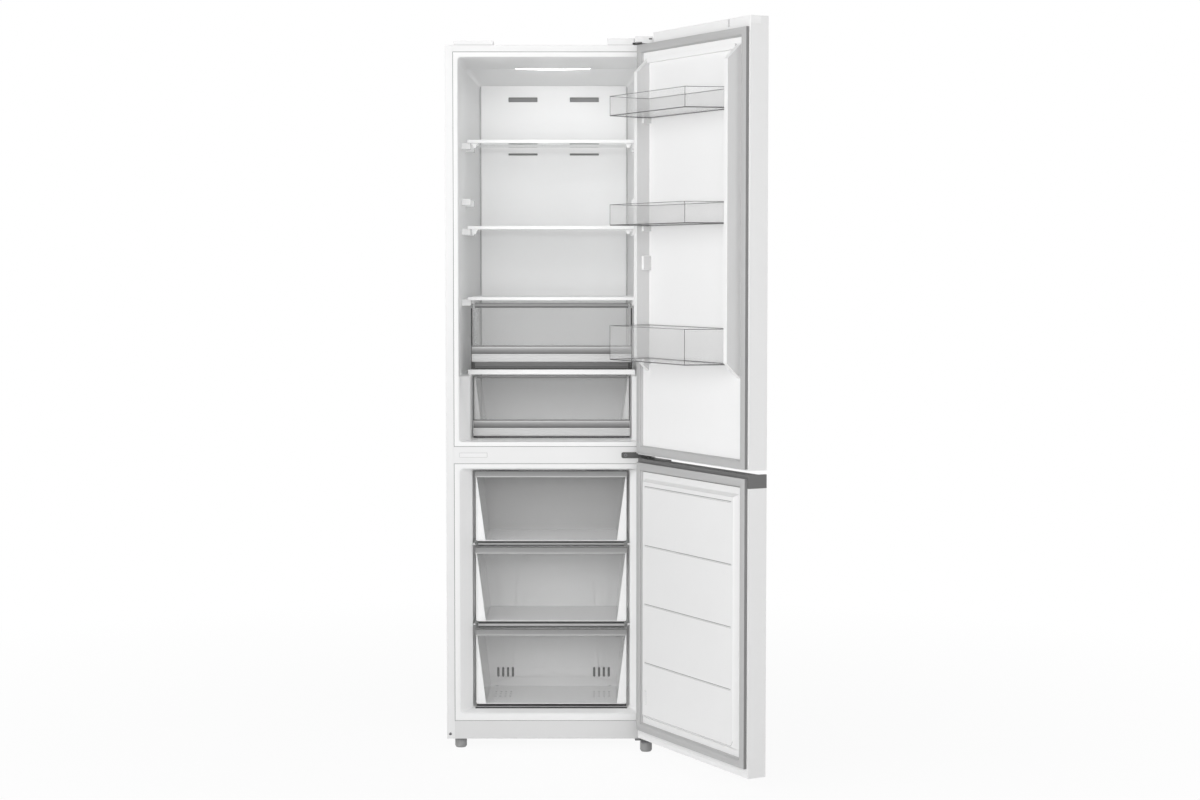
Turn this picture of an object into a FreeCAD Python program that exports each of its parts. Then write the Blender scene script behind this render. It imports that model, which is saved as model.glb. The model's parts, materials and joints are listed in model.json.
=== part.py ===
import FreeCAD, Part
import os

import Sketcher

Vector = FreeCAD.Vector

# Driving dimensions in millimetres and degrees. X is to the right, Y to the back, Z up from the floor.
# Y is 0 at the cabinet's front plane, X is 0 at the middle of its width.
SIZES = {
    # Cabinet shell
    "cabinet_width": 595,
    "cabinet_depth": 585,
    "foot_height": 31,
    "body_height": 1973,
    "sheet": 1,
    "tray_sheet": 1.5,
    "liner_wall": 1.5,
    "flange_width": 22.5,
    "top_rail": 18.4,
    "plinth_height": 51.5,
    "mullion_height": 48,
    # Fridge compartment
    "top_wall": 34,
    "fridge_lip": 15,
    "fridge_sill": 14,
    "rear_wall": 70,
    "duct_depth": 25,
    "taper_run": 104,
    "side_taper": 36,
    "ceiling_taper": 42,
    "cool_step": 28,
    "cool_flare": 60,
    "cool_height": 185,
    # Freezer compartment
    "freezer_lip": 17,
    "freezer_sill": 21.5,
    "freezer_height": 703,
    "freezer_head": 15,
    "freezer_step": 32,
    "freezer_rise": 8,
    "freezer_flare": 55,
    "freezer_rear_wall": 105,
    "evaporator_room": 104,
    "return_channel": 12,
    "bay_insulation": 30,
    # Machine bay
    "bay_depth": 175,
    "bay_top": 290,
    # Air duct cover and its slots
    "duct_gap": 4,
    "duct_wall": 3,
    "slot_width": 88,
    "slot_height": 14,
    "thin_slot": 6,
    "slot_offset": 93,
    "slot_drop": 35,
    "slot_second": 172,
    "slot_third": 204,
    # Lamp
    "lamp_width": 224,
    "lamp_sag": 3,
    "lamp_depth": 14,
    # Shelves
    "shelf_front": 140,
    "shelf_overrun": 44,
    "shelf_gap": 2.8,
    "glass_thickness": 4,
    "trim_depth": 12,
    "trim_height": 9.5,
    "cover_trim_height": 14,
    "trim_lap": 2,
    "glass_bite": 7,
    "lower_shelf_rise": 217,
    "middle_shelf_share": 0.4525,
    "upper_shelf_drop": 231,
    "spare_lug_share": 0.347,
    "lug_reach": 8,
    "lug_height": 18,
    "lug_depth": 30,
    "front_lug_set": 20,
    # Crispers
    "seat_gap": 0.3,
    "crisper_set": 3,
    "crisper_overrun": 3,
    "crisper_wall": 2.5,
    "front_plate": 3,
    "crisper_gap": 3,
    "cool_gap": 1.4,
    "fresh_draft": 6,
    "cool_draft": 24,
    "fresh_top_gap": 8.7,
    "cool_top_gap": 4.7,
    "fresh_bar_rise": 22,
    "cool_bar_rise": 6,
    "bar_height": 47,
    "bar_step": 24,
    "bar_depth": 7,
    "bar_recess": 3,
    "lip_height": 10,
    "lip_width": 3,
    # Freezer drawers and the plates between them
    "drawer_front": 60,
    "drawer_rear_gap": 6,
    "drawer_gap": 7.4,
    "drawer_wall": 2.5,
    "drawer_draft": 26,
    "bottom_drawer_rise": 6,
    "bottom_drawer_height": 221,
    "middle_drawer_height": 218,
    "top_drawer_gap": 2.5,
    "band_height": 18,
    "band_depth": 10,
    "plate_thickness": 5,
    "lower_plate_gap": 8,
    "upper_plate_gap": 3.4,
    "plate_set": 14,
    "runner_width": 6.4,
    "runner_height": 6,
    # Evaporator cover, evaporator and fan
    "cover_thickness": 4,
    "return_slot_width": 7,
    "return_slot_height": 30,
    "return_slot_pitch": 14.7,
    "return_slot_rise": 30,
    "return_group_inset": 81,
    "outlet_width": 90,
    "outlet_height": 12,
    "outlet_drop": 34,
    "tube_radius": 4,
    "evaporator_side_gap": 46,
    "evaporator_pitch": 36,
    "evaporator_inset": 30,
    "fin_thickness": 2,
    "fin_depth": 50,
    "fin_pitch": 40,
    "fan_radius": 46,
    "fan_hub_radius": 14,
    "fan_hub_depth": 18,
    "fan_drop": 70,
    "fan_set": 14,
    "blade_chord": 28.8,
    "blade_pitch": 32,
    "shaft_radius": 2.5,
    "running_gap": 0.05,
    "motor_radius": 24,
    "motor_depth": 40,
    # Compressor and what stands round it
    "compressor_x": 60,
    "compressor_radius": 62,
    "compressor_body": 90,
    "compressor_dome": 36,
    "mount_height": 18,
    "mount_radius": 11,
    "mount_spread": 74,
    "mount_depth": 46,
    "foot_plate": 3,
    "drip_height": 24,
    "drip_wall": 2,
    "drip_half": 70,
    "coil_radius": 2.4,
    "coil_side_gap": 66.5,
    "coil_pitch": 60,
    "coil_rise": 120,
    "coil_recess": 10,
    "inlet_inset": 97.5,
    "inlet_width": 36,
    "inlet_height": 30,
    "inlet_depth": 24,
    "inlet_bore": 4.2,
    # Feet and rollers
    "left_foot_inset": 37.5,
    "left_foot_set": 40,
    "foot_radius": 17,
    "foot_taper": 3,
    "foot_edge": 5,
    "stud_radius": 5,
    "right_foot_inset": 25.5,
    "right_foot_set": 20,
    "roller_gap": 3,
    "roller_width": 22,
    "roller_inset": 60,
    "roller_set": 45,
    "axle_radius": 4,
    "ear_thickness": 3,
    "ear_half": 9,
    "ear_gap": 0.5,
    # Hinges
    "pin_inset": 18,
    "pin_reach": 38,
    "pin_radius": 5,
    "pin_depth": 14,
    "hinge_plate": 4,
    "hinge_width": 105,
    "hinge_set": 8,
    "hinge_depth": 52,
    "arm_width": 46,
    "arm_half": 7,
    "middle_plate": 3,
    "middle_length": 78,
    "middle_height": 17,
    "middle_round": 5,
    "middle_arm": 4,
    "middle_arm_width": 24,
    "lower_plate": 3,
    "lower_length": 46,
    "lower_set": 12,
    "lower_arm": 14,
    "lower_depth": 46,
    "screw_radius": 2.5,
    "screw_head": 4.5,
    "head_height": 2,
    "screw_length": 14,
    "screw_edge": 9,
    "top_screw_edge": 13,
    "top_screw_pitch": 26,
    "middle_screw_edge": 12,
    "lower_screw_pitch": 20,
    "cover_width": 111,
    "cover_inset": 25.5,
    "cover_height": 19,
    "cap_height": 13,
    "cover_depth": 62,
    "cover_wall": 2,
    "cover_play": 1,
    "tongue_width": 50,
    "tongue_height": 15,
    "tongue_lift": 4.5,
    "skirt_width": 30,
    "skirt_lift": 0.5,
    "plug_length": 78,
    "plug_height": 12,
    "plug_proud": 1.5,
    "plug_inset": 38.5,
    # Doors
    "open_angle": 118,
    "gasket_thickness": 12,
    "door_thickness": 55,
    "doors_gap": 11,
    "door_rise": 24,
    "door_drop": 10,
    "cap_thickness": 14,
    "top_cap": 42,
    "hinge_notch": 85,
    "notch_floor": 3,
    "notch_wall": 4,
    "corner_plug_depth": 33,
    "corner_plug_height": 21,
    "slot_from_edge": 105,
    "cap_slot": 9,
    "gasket_inset": 6,
    "gasket_width": 24,
    "gasket_gap": 0.3,
    "gasket_slope": 8.5,
    "gasket_fall": 2,
    "gasket_foot": 3,
    "gasket_head": 28,
    "dyke_gap": 6.5,
    "dyke_width": 20,
    "dyke_height": 40,
    "dyke_draft": 3,
    "dyke_rise": 21,
    "dyke_drop": 10,
    "ridge_height": 14,
    "ridge_depth": 8,
    "bin_gap": 0.5,
    "bin_clearance": 7,
    "bin_front_inset": 28,
    "bin_wall": 2.2,
    "bottom_bin_rise": 35,
    "middle_bin_share": 0.5524,
    "top_bin_drop": 167,
    "bottom_bin_height": 95,
    "middle_bin_height": 58,
    "top_bin_height": 55,
    "bin_lug": 11,
    "bin_lug_depth": 24,
    "bin_lug_height": 14,
    "spare_bin_share": 0.7154,
    # Lower door
    "grip_height": 36,
    "grip_recess": 22,
    "grip_floor": 12,
    "grip_end": 6,
    "grip_stop": 95,
    "plug_side_gap": 6.5,
    "plug_foot_gap": 4,
    "plug_head_gap": 20.5,
    "plug_rise": 15,
    "plug_draft": 8,
    "groove_depth": 3,
    "groove_height": 5,
    "groove_pitch": 166,
    "groove_drop": 19,
    "groove_margin": 18,
    "lower_gasket_foot": 25,
    "lower_gasket_head": 10,
}

doc = FreeCAD.newDocument("refrigerator")
sheet = doc.addObject("Spreadsheet::Sheet", "Sizes")
for row, (alias, number) in enumerate(SIZES.items(), start=1):
    sheet.set(f"A{row}", alias)
    sheet.set(f"B{row}", str(number))
    sheet.setAlias(f"B{row}", alias)
doc.recompute()


class Size:
    """A formula on the sheet, with the value it has now."""

    def __init__(self, text, value):
        self.text = text
        self.value = value

    def __neg__(self):
        return Size(f"(-{self.text})", -self.value)

    def __add__(self, other):
        other = as_size(other)
        return Size(f"({self.text} + {other.text})", self.value + other.value)

    def __sub__(self, other):
        other = as_size(other)
        return Size(f"({self.text} - {other.text})", self.value - other.value)

    def __mul__(self, other):
        other = as_size(other)
        return Size(f"({self.text} * {other.text})", self.value * other.value)

    def __truediv__(self, other):
        other = as_size(other)
        return Size(f"({self.text} / {other.text})", self.value / other.value)


def as_size(number):
    """A plain number as a Size."""
    return number if isinstance(number, Size) else Size(str(number), number)


def smaller(first, second):
    """The smaller of two Sizes."""
    return Size(f"min({first.text}; {second.text})", min(first.value, second.value))


class SheetSizes:
    """The sheet's cells by alias."""

    def __getattr__(self, alias):
        return Size(f"Sizes.{alias}", sheet.get(alias))


s = SheetSizes()
nodes = []


# Building blocks
def place(shape, x, y, z):
    """Bind the position of an object to the sheet."""
    for axis, value in zip("xyz", (x, y, z)):
        shape.setExpression(f"Placement.Base.{axis}", as_size(value).text)
    return shape


def box(name, x, y, z):
    """Block between two corners, each of x, y and z a pair."""
    block = doc.addObject("Part::Box", name)
    for side, (low, high) in zip(("Length", "Width", "Height"), (x, y, z)):
        block.setExpression(side, (as_size(high) - low).text)
    return place(block, x[0], y[0], z[0])


def wedge(name, y, near, far):
    """Block that tapers along Y, from the (x, z) spans near to the (x, z) spans far."""
    block = doc.addObject("Part::Wedge", name)
    values = {
        "Ymin": y[0], "Ymax": y[1],
        "Xmin": near[0][0], "Xmax": near[0][1], "Zmin": near[1][0], "Zmax": near[1][1],
        "X2min": far[0][0], "X2max": far[0][1], "Z2min": far[1][0], "Z2max": far[1][1],
    }
    for key, value in values.items():
        setattr(block, key, as_size(value).value)
        block.setExpression(key, as_size(value).text)
    return block


def hopper(name, z, low, high):
    """Block that tapers along Z, from the (x, y) spans low to the (x, y) spans high."""
    def turned(spans):
        x, y = spans
        return x, (-as_size(y[1]), -as_size(y[0]))

    block = wedge(name, z, turned(low), turned(high))
    block.Placement = FreeCAD.Placement(Vector(0, 0, 0), FreeCAD.Rotation(Vector(1, 0, 0), 90))
    return block


def cylinder(name, radius, x, y, z, length, axis="Z"):
    """Round bar from a point along an axis."""
    bar = doc.addObject("Part::Cylinder", name)
    bar.setExpression("Radius", as_size(radius).text)
    bar.setExpression("Height", as_size(length).text)
    turns = {"Z": FreeCAD.Rotation(), "X": FreeCAD.Rotation(Vector(0, 1, 0), 90),
             "Y": FreeCAD.Rotation(Vector(1, 0, 0), -90)}
    bar.Placement = FreeCAD.Placement(Vector(0, 0, 0), turns[axis])
    return place(bar, x, y, z)


def fuse(name, *shapes):
    """One solid from several that meet."""
    joined = doc.addObject("Part::MultiFuse", name)
    joined.Shapes = list(shapes)
    joined.Refine = True
    return joined


def group(name, *shapes):
    """Separate solids in one object."""
    held = doc.addObject("Part::Compound", name)
    held.Links = list(shapes)
    return held


def cut(name, base, *tools):
    """Base with the tools taken away."""
    rest = doc.addObject("Part::Cut", name)
    rest.Base = base
    rest.Tool = tools[0] if len(tools) == 1 else group(name + "_tools", *tools)
    rest.Refine = True
    return rest


def pad(name, plane, start, length, points, reverse=False):
    """Body made by padding a closed outline, every corner bound to the sheet."""
    body = doc.addObject("PartDesign::Body", name)
    outline = body.newObject("Sketcher::SketchObject", name + "_outline")
    support = next(item for item in body.Origin.OriginFeatures if item.Role == plane)
    outline.AttachmentSupport = [(support, "")]
    outline.MapMode = "FlatFace"
    outline.setExpression("AttachmentOffset.Base.z", as_size(start).text)
    corners = [(as_size(x), as_size(y)) for x, y in points]
    count = len(corners)
    for number in range(count):
        here = corners[number]
        there = corners[(number + 1) % count]
        start_point = Vector(here[0].value, here[1].value, 0)
        end_point = Vector(there[0].value, there[1].value, 0)
        outline.addGeometry(Part.LineSegment(start_point, end_point), False)
    for number in range(count):
        outline.addConstraint(Sketcher.Constraint("Coincident", number, 2, (number + 1) % count, 1))
    for number, corner in enumerate(corners):
        for kind, size in zip(("DistanceX", "DistanceY"), corner):
            index = outline.addConstraint(Sketcher.Constraint(kind, -1, 1, number, 1, size.value))
            outline.renameConstraint(index, f"{kind}_{number}")
            outline.setExpression(f"Constraints.{kind}_{number}", size.text)
    solid = body.newObject("PartDesign::Pad", name + "_pad")
    solid.Profile = outline
    solid.setExpression("Length", as_size(length).text)
    solid.Reversed = reverse
    return body


def both(half_width):
    """Span from the left to the right of the middle."""
    return -half_width, half_width


def side_span(side, near, far):
    """Span between two distances from the middle, on the left (-1) or the right (1)."""
    return (near, far) if side > 0 else (-as_size(far), -as_size(near))


def node(shape, label):
    """Name a finished piece of the cabinet."""
    shape.Label = label
    nodes.append(shape)
    return shape


def door_node(shape, label):
    """Name a finished piece of a door, and swing it open about the hinge pins."""
    centre = f"vector({pin_x.text}; {pin_y.text}; 0)"
    turn = f"rotation(vector(0; 0; 1); {s.open_angle.text})"
    shape.setExpression("Placement", f"placement(vector(0; 0; 0); {turn}; {centre})")
    return node(shape, label)


# Main planes and edges
half = s.cabinet_width / 2
inside = half - s.sheet
flange = half - s.flange_width
bottom = s.foot_height
top = bottom + s.body_height
back = s.cabinet_depth
plinth_top = bottom + s.plinth_height
freezer_bottom = plinth_top + s.freezer_sill
freezer_top = freezer_bottom + s.freezer_height
mullion_bottom = freezer_top + s.freezer_head
mullion_top = mullion_bottom + s.mullion_height
fridge_bottom = mullion_top + s.fridge_sill
fridge_top = top - s.top_wall
fridge_half = flange - s.fridge_lip
back_half = fridge_half - s.side_taper
back_top = fridge_top - s.ceiling_taper
cool_half = fridge_half - s.cool_step
ledge = fridge_bottom + s.cool_height
freezer_half = flange - s.freezer_lip
freezer_inner = freezer_half - s.freezer_step
freezer_floor = freezer_bottom + s.freezer_rise
freezer_ceiling = freezer_top - s.freezer_rise
rail_bottom = top - s.top_rail
fridge_back = back - s.rear_wall
duct_front = fridge_back - s.duct_depth
wall_bend = duct_front - s.taper_run
freezer_back = back - s.freezer_rear_wall
evaporator_front = freezer_back - s.evaporator_room
evaporator_floor = s.bay_top + s.bay_insulation
bay_front = back - s.bay_depth

# Door planes
inner_face = -s.gasket_thickness
outer_face = inner_face - s.door_thickness
gap_middle = mullion_bottom + s.mullion_height / 2
upper_bottom = gap_middle + s.doors_gap / 2
upper_top = top + s.door_rise
lower_top = gap_middle - s.doors_gap / 2
lower_bottom = bottom + s.door_drop
pin_x = half - s.pin_inset
pin_y = -s.pin_reach


# Cabinet skins
def side_panel(side, label):
    skin = box(label + "_skin", side_span(side, inside, half), (0, back), (bottom, top))
    front = box(label + "_flange", side_span(side, flange, half), (0, s.sheet), (bottom, top))
    node(fuse(label, skin, front), label)


side_panel(-1, "left_side_panel")
side_panel(1, "right_side_panel")

roof = box("roof", both(inside), (s.sheet, back - s.sheet), (top - s.sheet, top))
rail = box("top_front_rail", both(flange), (0, s.sheet), (rail_bottom, top))
node(fuse("top_panel", roof, rail), "top_panel")
node(box("back_panel", both(inside), (back - s.sheet, back), (s.bay_top, top)), "back_panel")

roller_x = half - s.roller_inset
roller_y = back - s.roller_set
roller_radius = (bottom - s.roller_gap) / 2
roller_axle = roller_radius
ear_near = roller_x - s.roller_width / 2 - s.ear_gap
ear_far = roller_x + s.roller_width / 2 + s.ear_gap
tray_parts = [
    box("tray_floor", both(inside), (s.liner_wall, back), (bottom, bottom + s.tray_sheet)),
    box("bay_wall", both(inside), (bay_front, bay_front + s.tray_sheet), (bottom, s.bay_top)),
    box("bay_ceiling", both(inside), (bay_front, back), (s.bay_top - s.tray_sheet, s.bay_top)),
]
for side in (-1, 1):
    for near, far in ((ear_near - s.ear_thickness, ear_near), (ear_far, ear_far + s.ear_thickness)):
        tray_parts.append(box("roller_ear", side_span(side, near, far),
                              (roller_y - s.ear_half, roller_y + s.ear_half),
                              (roller_axle - s.ear_half, bottom + s.tray_sheet)))
    start, end = side_span(side, ear_near - s.ear_thickness, ear_far + s.ear_thickness)
    tray_parts.append(cylinder("roller_axle", s.axle_radius, start, roller_y, roller_axle, end - start, "X"))
left_foot_x = -(half - s.left_foot_inset)
left_foot_y = s.left_foot_set
foot_hole = cylinder("foot_hole", s.stud_radius + s.running_gap, left_foot_x, left_foot_y, bottom,
                     s.tray_sheet)
node(cut("base_tray", fuse("base_tray_blank", *tray_parts), foot_hole), "base_tray")

node(box("mullion_cover", both(flange), (0, s.liner_wall), (mullion_bottom, mullion_top)), "mullion_cover")
node(box("plinth", both(flange), (0, s.liner_wall), (bottom, plinth_top)), "plinth")


# Compartments: the hollow of each, grown by the liner's wall for its outside
def fridge_hollow(name, grow):
    low = fridge_bottom - grow
    high = fridge_top + grow
    back_high = back_top + grow
    step = ledge - grow
    wide = both(fridge_half + grow)
    cool = both(cool_half + grow)
    narrow = both(back_half + grow)
    taper_y = (wall_bend, duct_front)
    return fuse(
        name,
        box(name + "_front", wide, (0, wall_bend), (step, high)),
        wedge(name + "_taper", taper_y, (wide, (step, high)), (narrow, (step, back_high))),
        box(name + "_rear", narrow, (duct_front, fridge_back + grow), (low, back_high)),
        wedge(name + "_flare", (0, s.cool_flare), (wide, (low, ledge)), (cool, (low, ledge))),
        box(name + "_cool", cool, (s.cool_flare, wall_bend), (low, ledge)),
        wedge(name + "_cool_taper", taper_y, (cool, (low, ledge)), (narrow, (low, ledge))),
    )


def freezer_hollow(name, grow):
    mouth = (both(freezer_half + grow), (freezer_bottom - grow, freezer_top + grow))
    chamber = (both(freezer_inner + grow), (freezer_floor - grow, freezer_ceiling + grow))
    return fuse(
        name,
        wedge(name + "_flare", (0, s.freezer_flare), mouth, chamber),
        box(name + "_chamber", chamber[0], (s.freezer_flare, evaporator_front + s.return_channel + grow),
            chamber[1]),
        box(name + "_rear", chamber[0], (evaporator_front - s.cover_thickness, freezer_back + grow),
            (evaporator_floor - grow, freezer_ceiling + grow)),
    )


def liner(label, hollow, low, high):
    front = box(label + "_flange", both(flange), (0, s.liner_wall), (low, high))
    blank = fuse(label + "_blank", front, hollow(label + "_outside", s.liner_wall))
    return node(cut(label, blank, hollow(label + "_inside", as_size(0))), label)


liner("fridge_liner", fridge_hollow, mullion_top, rail_bottom)
liner("freezer_liner", freezer_hollow, plinth_top, mullion_bottom)

# Condenser: one serpentine tube in a shallow recess of the foam, against the back panel
coil_y = back - s.sheet - s.coil_radius - s.seat_gap
coil_bottom = s.bay_top + s.coil_rise
coil_count = 20
coil_reach = inside - s.coil_side_gap


def serpentine(name, radius, half_run, pitch, count, y, low):
    """One tube of straight runs joined by half circles, stacked upwards."""
    bend = pitch.value / 2
    reach = half_run.value - bend
    edges = []
    for number in range(count):
        level = low.value + number * pitch.value
        side = 1 if number % 2 == 0 else -1
        start = Vector(-side * reach, y.value, level)
        end = Vector(side * reach, y.value, level)
        edges.append(Part.LineSegment(start, end).toShape())
        if number < count - 1:
            middle = Vector(side * (reach + bend), y.value, level + bend)
            above = Vector(side * reach, y.value, level + pitch.value)
            edges.append(Part.Arc(end, middle, above).toShape())
    path = Part.Wire(edges)
    section = Part.Wire([Part.makeCircle(radius.value, edges[0].Vertexes[0].Point, Vector(1, 0, 0))])
    tube = doc.addObject("Part::Feature", name)
    tube.Shape = path.makePipeShell([section], True, False)
    return tube


node(serpentine("condenser_coil", s.coil_radius, coil_reach, s.coil_pitch, coil_count, coil_y, coil_bottom),
     "condenser_coil")
coil_top = coil_bottom + s.coil_pitch * (coil_count - 1)
coil_half = coil_reach + s.coil_recess
coil_room = box("coil_recess", both(coil_half), (back - s.sheet - s.coil_recess, back - s.sheet),
                (coil_bottom - s.coil_recess, coil_top + s.coil_recess))

foam_block = box("foam_block", both(inside), (s.liner_wall, back - s.sheet),
                 (bottom + s.tray_sheet, top - s.sheet))
bay = box("bay_room", both(half), (bay_front, back), (bottom, s.bay_top))
node(cut("cabinet_insulation", foam_block, fridge_hollow("fridge_room", s.liner_wall),
         freezer_hollow("freezer_room", s.liner_wall), bay, coil_room), "cabinet_insulation")

# Air duct cover: a hollow box on the fridge's back wall with outlet slots
duct_half = back_half - s.duct_gap
duct_top = back_top - s.seat_gap
duct_box = box("duct_box", both(duct_half), (duct_front, fridge_back), (fridge_bottom, duct_top))
duct_room = box("duct_room", both(duct_half - s.duct_wall), (duct_front + s.duct_wall, fridge_back),
                (fridge_bottom + s.duct_wall, duct_top - s.duct_wall))
outlets = []
slot_rows = ((s.slot_drop, s.slot_height), (s.slot_second, s.slot_height), (s.slot_third, s.thin_slot))
for drop, height in slot_rows:
    for side in (-1, 1):
        middle = s.slot_offset * side
        outlets.append(box("duct_slot", (middle - s.slot_width / 2, middle + s.slot_width / 2),
                           (duct_front, duct_front + s.duct_wall),
                           (duct_top - drop - height, duct_top - drop)))
node(cut("air_duct_cover", duct_box, duct_room, *outlets), "air_duct_cover")

# Lamp lens: a bowed bar on the ceiling where it bends down
lamp_half = s.lamp_width / 2
bow = (lamp_half * lamp_half + s.lamp_sag * s.lamp_sag) / (s.lamp_sag * 2)
lamp_y = wall_bend - s.lamp_depth
lamp_round = cylinder("lamp_round", bow, 0, lamp_y, fridge_top - s.lamp_sag + bow, s.lamp_depth, "Y")
lamp_block = box("lamp_block", both(lamp_half), (lamp_y, wall_bend), (fridge_top - s.lamp_sag, fridge_top))
lamp = doc.addObject("Part::Common", "lamp_lens")
lamp.Base = lamp_block
lamp.Tool = lamp_round
node(lamp, "lamp_lens")


# Shelves: level is the underside of the glass, where it lies on its lugs
def wall_half(front_half, y):
    """Half width between the fridge's side walls where they draw in towards the back."""
    return front_half - (front_half - back_half) * (y - wall_bend) / s.taper_run


shelf_back = wall_bend + s.shelf_overrun
shelf_half = wall_half(fridge_half, shelf_back) - s.shelf_gap
cover_level = ledge + s.trim_lap
lower_level = ledge + s.lower_shelf_rise
upper_level = fridge_top - s.upper_shelf_drop
middle_level = lower_level + (upper_level - lower_level) * s.middle_shelf_share
trim_back = s.shelf_front + s.trim_depth
rear_trim = shelf_back - s.trim_depth


def shelf(name, level, height, rear_low):
    glass_y = (trim_back - s.glass_bite, rear_trim + s.glass_bite)
    pane = (both(shelf_half - s.trim_lap), glass_y, (level, level + s.glass_thickness))
    node(box(name + "_glass", *pane), name + "_glass")
    low = level - s.trim_lap
    front = box(name + "_front_bar", both(shelf_half), (s.shelf_front, trim_back), (low, low + height))
    rear = box(name + "_rear_bar", both(shelf_half), (rear_trim, shelf_back), (rear_low, low + height))
    bars = group(name + "_bars", front, rear)
    node(cut(name + "_trim", bars, box(name + "_groove", *pane)), name + "_trim")


shelf("upper_shelf", upper_level, s.trim_height, upper_level)
shelf("middle_shelf", middle_level, s.trim_height, middle_level)
shelf("lower_shelf", lower_level, s.trim_height, lower_level)
shelf("crisper_cover", cover_level, s.cover_trim_height, ledge)

# Lugs on the side walls under the shelves, a spare pair, and the runners under the freezer's plates
supports = []
lug_in = shelf_half - s.lug_reach
spare_level = middle_level + (upper_level - middle_level) * s.spare_lug_share
for level in (upper_level, middle_level, lower_level, spare_level):
    for side in (-1, 1):
        for start in (s.shelf_front + s.front_lug_set, wall_bend - s.lug_depth):
            supports.append(box("shelf_lug", side_span(side, lug_in, fridge_half),
                                (start, start + s.lug_depth), (level - s.lug_height, level)))

# Freezer drawers stand on the floor and on two plates
drawer_half = freezer_inner - s.drawer_gap
bottom_drawer = freezer_floor + s.bottom_drawer_rise
lower_plate = bottom_drawer + s.bottom_drawer_height + s.runner_height + s.lower_plate_gap
middle_drawer = lower_plate + s.plate_thickness + s.seat_gap
upper_plate = middle_drawer + s.middle_drawer_height + s.runner_height + s.upper_plate_gap
top_drawer = upper_plate + s.plate_thickness + s.seat_gap
plate_y = (s.drawer_front + s.plate_set, evaporator_front - s.cover_thickness)
plates = []
for level in (lower_plate, upper_plate):
    plates.append(box("freezer_plate", both(freezer_inner), plate_y, (level, level + s.plate_thickness)))
    for side in (-1, 1):
        supports.append(box("plate_runner", side_span(side, freezer_inner - s.runner_width, freezer_inner),
                            plate_y, (level - s.runner_height, level)))
for side in (-1, 1):
    runner_in = drawer_half - s.drawer_draft * 2
    supports.append(box("floor_runner", side_span(side, runner_in, runner_in + s.runner_width), plate_y,
                        (freezer_floor, bottom_drawer - s.seat_gap)))
node(group("freezer_shelves", *plates), "freezer_shelves")
node(group("liner_supports", *supports), "liner_supports")


def tub(name, half_width, draft, wall, y, z):
    """Open tub with drafted sides behind a flat clear front plate, with a lip round its top."""
    front = (y[0], y[0] + s.front_plate)
    low = z[0]
    high = z[1]
    body_half = half_width - s.lip_width
    floor_half = body_half - draft
    rear = y[1] - s.lip_width
    outside = hopper(name + "_outside", (low, high), (both(floor_half), (front[0], rear - draft)),
                     (both(body_half), (front[0], rear)))
    rim = box(name + "_rim", both(half_width), y, (high - s.lip_height, high))
    plate = box(name + "_plate", both(half_width), front, (low, high))
    room = hopper(name + "_room", (low + wall, high),
                  (both(floor_half - wall), (front[1], rear - draft - wall)),
                  (both(body_half - wall), (front[1], rear - wall)))
    return cut(name, fuse(name + "_blank", outside, rim, plate), room)


crisper_front = s.shelf_front + s.crisper_set
crisper_back = shelf_back + s.crisper_overrun
bar_front = crisper_front - s.bar_depth


def crisper(name, half_width, draft, z, bar_rise):
    basin = tub(name + "_tub", half_width, draft, s.crisper_wall, (crisper_front, crisper_back), z)
    node(basin, name + "_tub")
    bar_low = z[0] + bar_rise
    profile = ((crisper_front, bar_low), (bar_front, bar_low), (bar_front, bar_low + s.bar_step),
               (bar_front + s.bar_recess, bar_low + s.bar_step),
               (bar_front + s.bar_recess, bar_low + s.bar_height), (crisper_front, bar_low + s.bar_height))
    node(pad(name + "_bar", "YZ_Plane", -half_width, half_width * 2, profile), name + "_bar")


fresh_half = lug_in - s.crisper_gap
cool_drawer_half = smaller(cool_half, wall_half(cool_half, crisper_back)) - s.cool_gap
fresh_z = (ledge + s.cover_trim_height + s.seat_gap, lower_level - s.trim_lap - s.fresh_top_gap)
cool_z = (fridge_bottom + s.seat_gap, ledge - s.cool_top_gap)
crisper("fresh_drawer", fresh_half, s.fresh_draft, fresh_z, s.fresh_bar_rise)
crisper("cool_drawer", cool_drawer_half, s.cool_draft, cool_z, s.cool_bar_rise)

drawer_y = (s.drawer_front, plate_y[1] - s.drawer_rear_gap)
drawer_spans = (
    ("freezer_drawer_top", top_drawer, freezer_ceiling - s.top_drawer_gap),
    ("freezer_drawer_middle", middle_drawer, middle_drawer + s.middle_drawer_height),
    ("freezer_drawer_bottom", bottom_drawer, bottom_drawer + s.bottom_drawer_height),
)
for label, low, high in drawer_spans:
    basket = tub(label + "_basket", drawer_half, s.drawer_draft, s.drawer_wall, drawer_y, (low, high))
    band = box(label + "_band", both(drawer_half), (s.drawer_front - s.band_depth, s.drawer_front),
               (high - s.band_height, high))
    band_room = box(label + "_finger_room", both(drawer_half - s.drawer_wall),
                    (s.drawer_front - s.band_depth + s.drawer_wall, s.drawer_front),
                    (high - s.band_height, high - s.drawer_wall))
    node(fuse(label, basket, cut(label + "_handle", band, band_room)), label)

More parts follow.
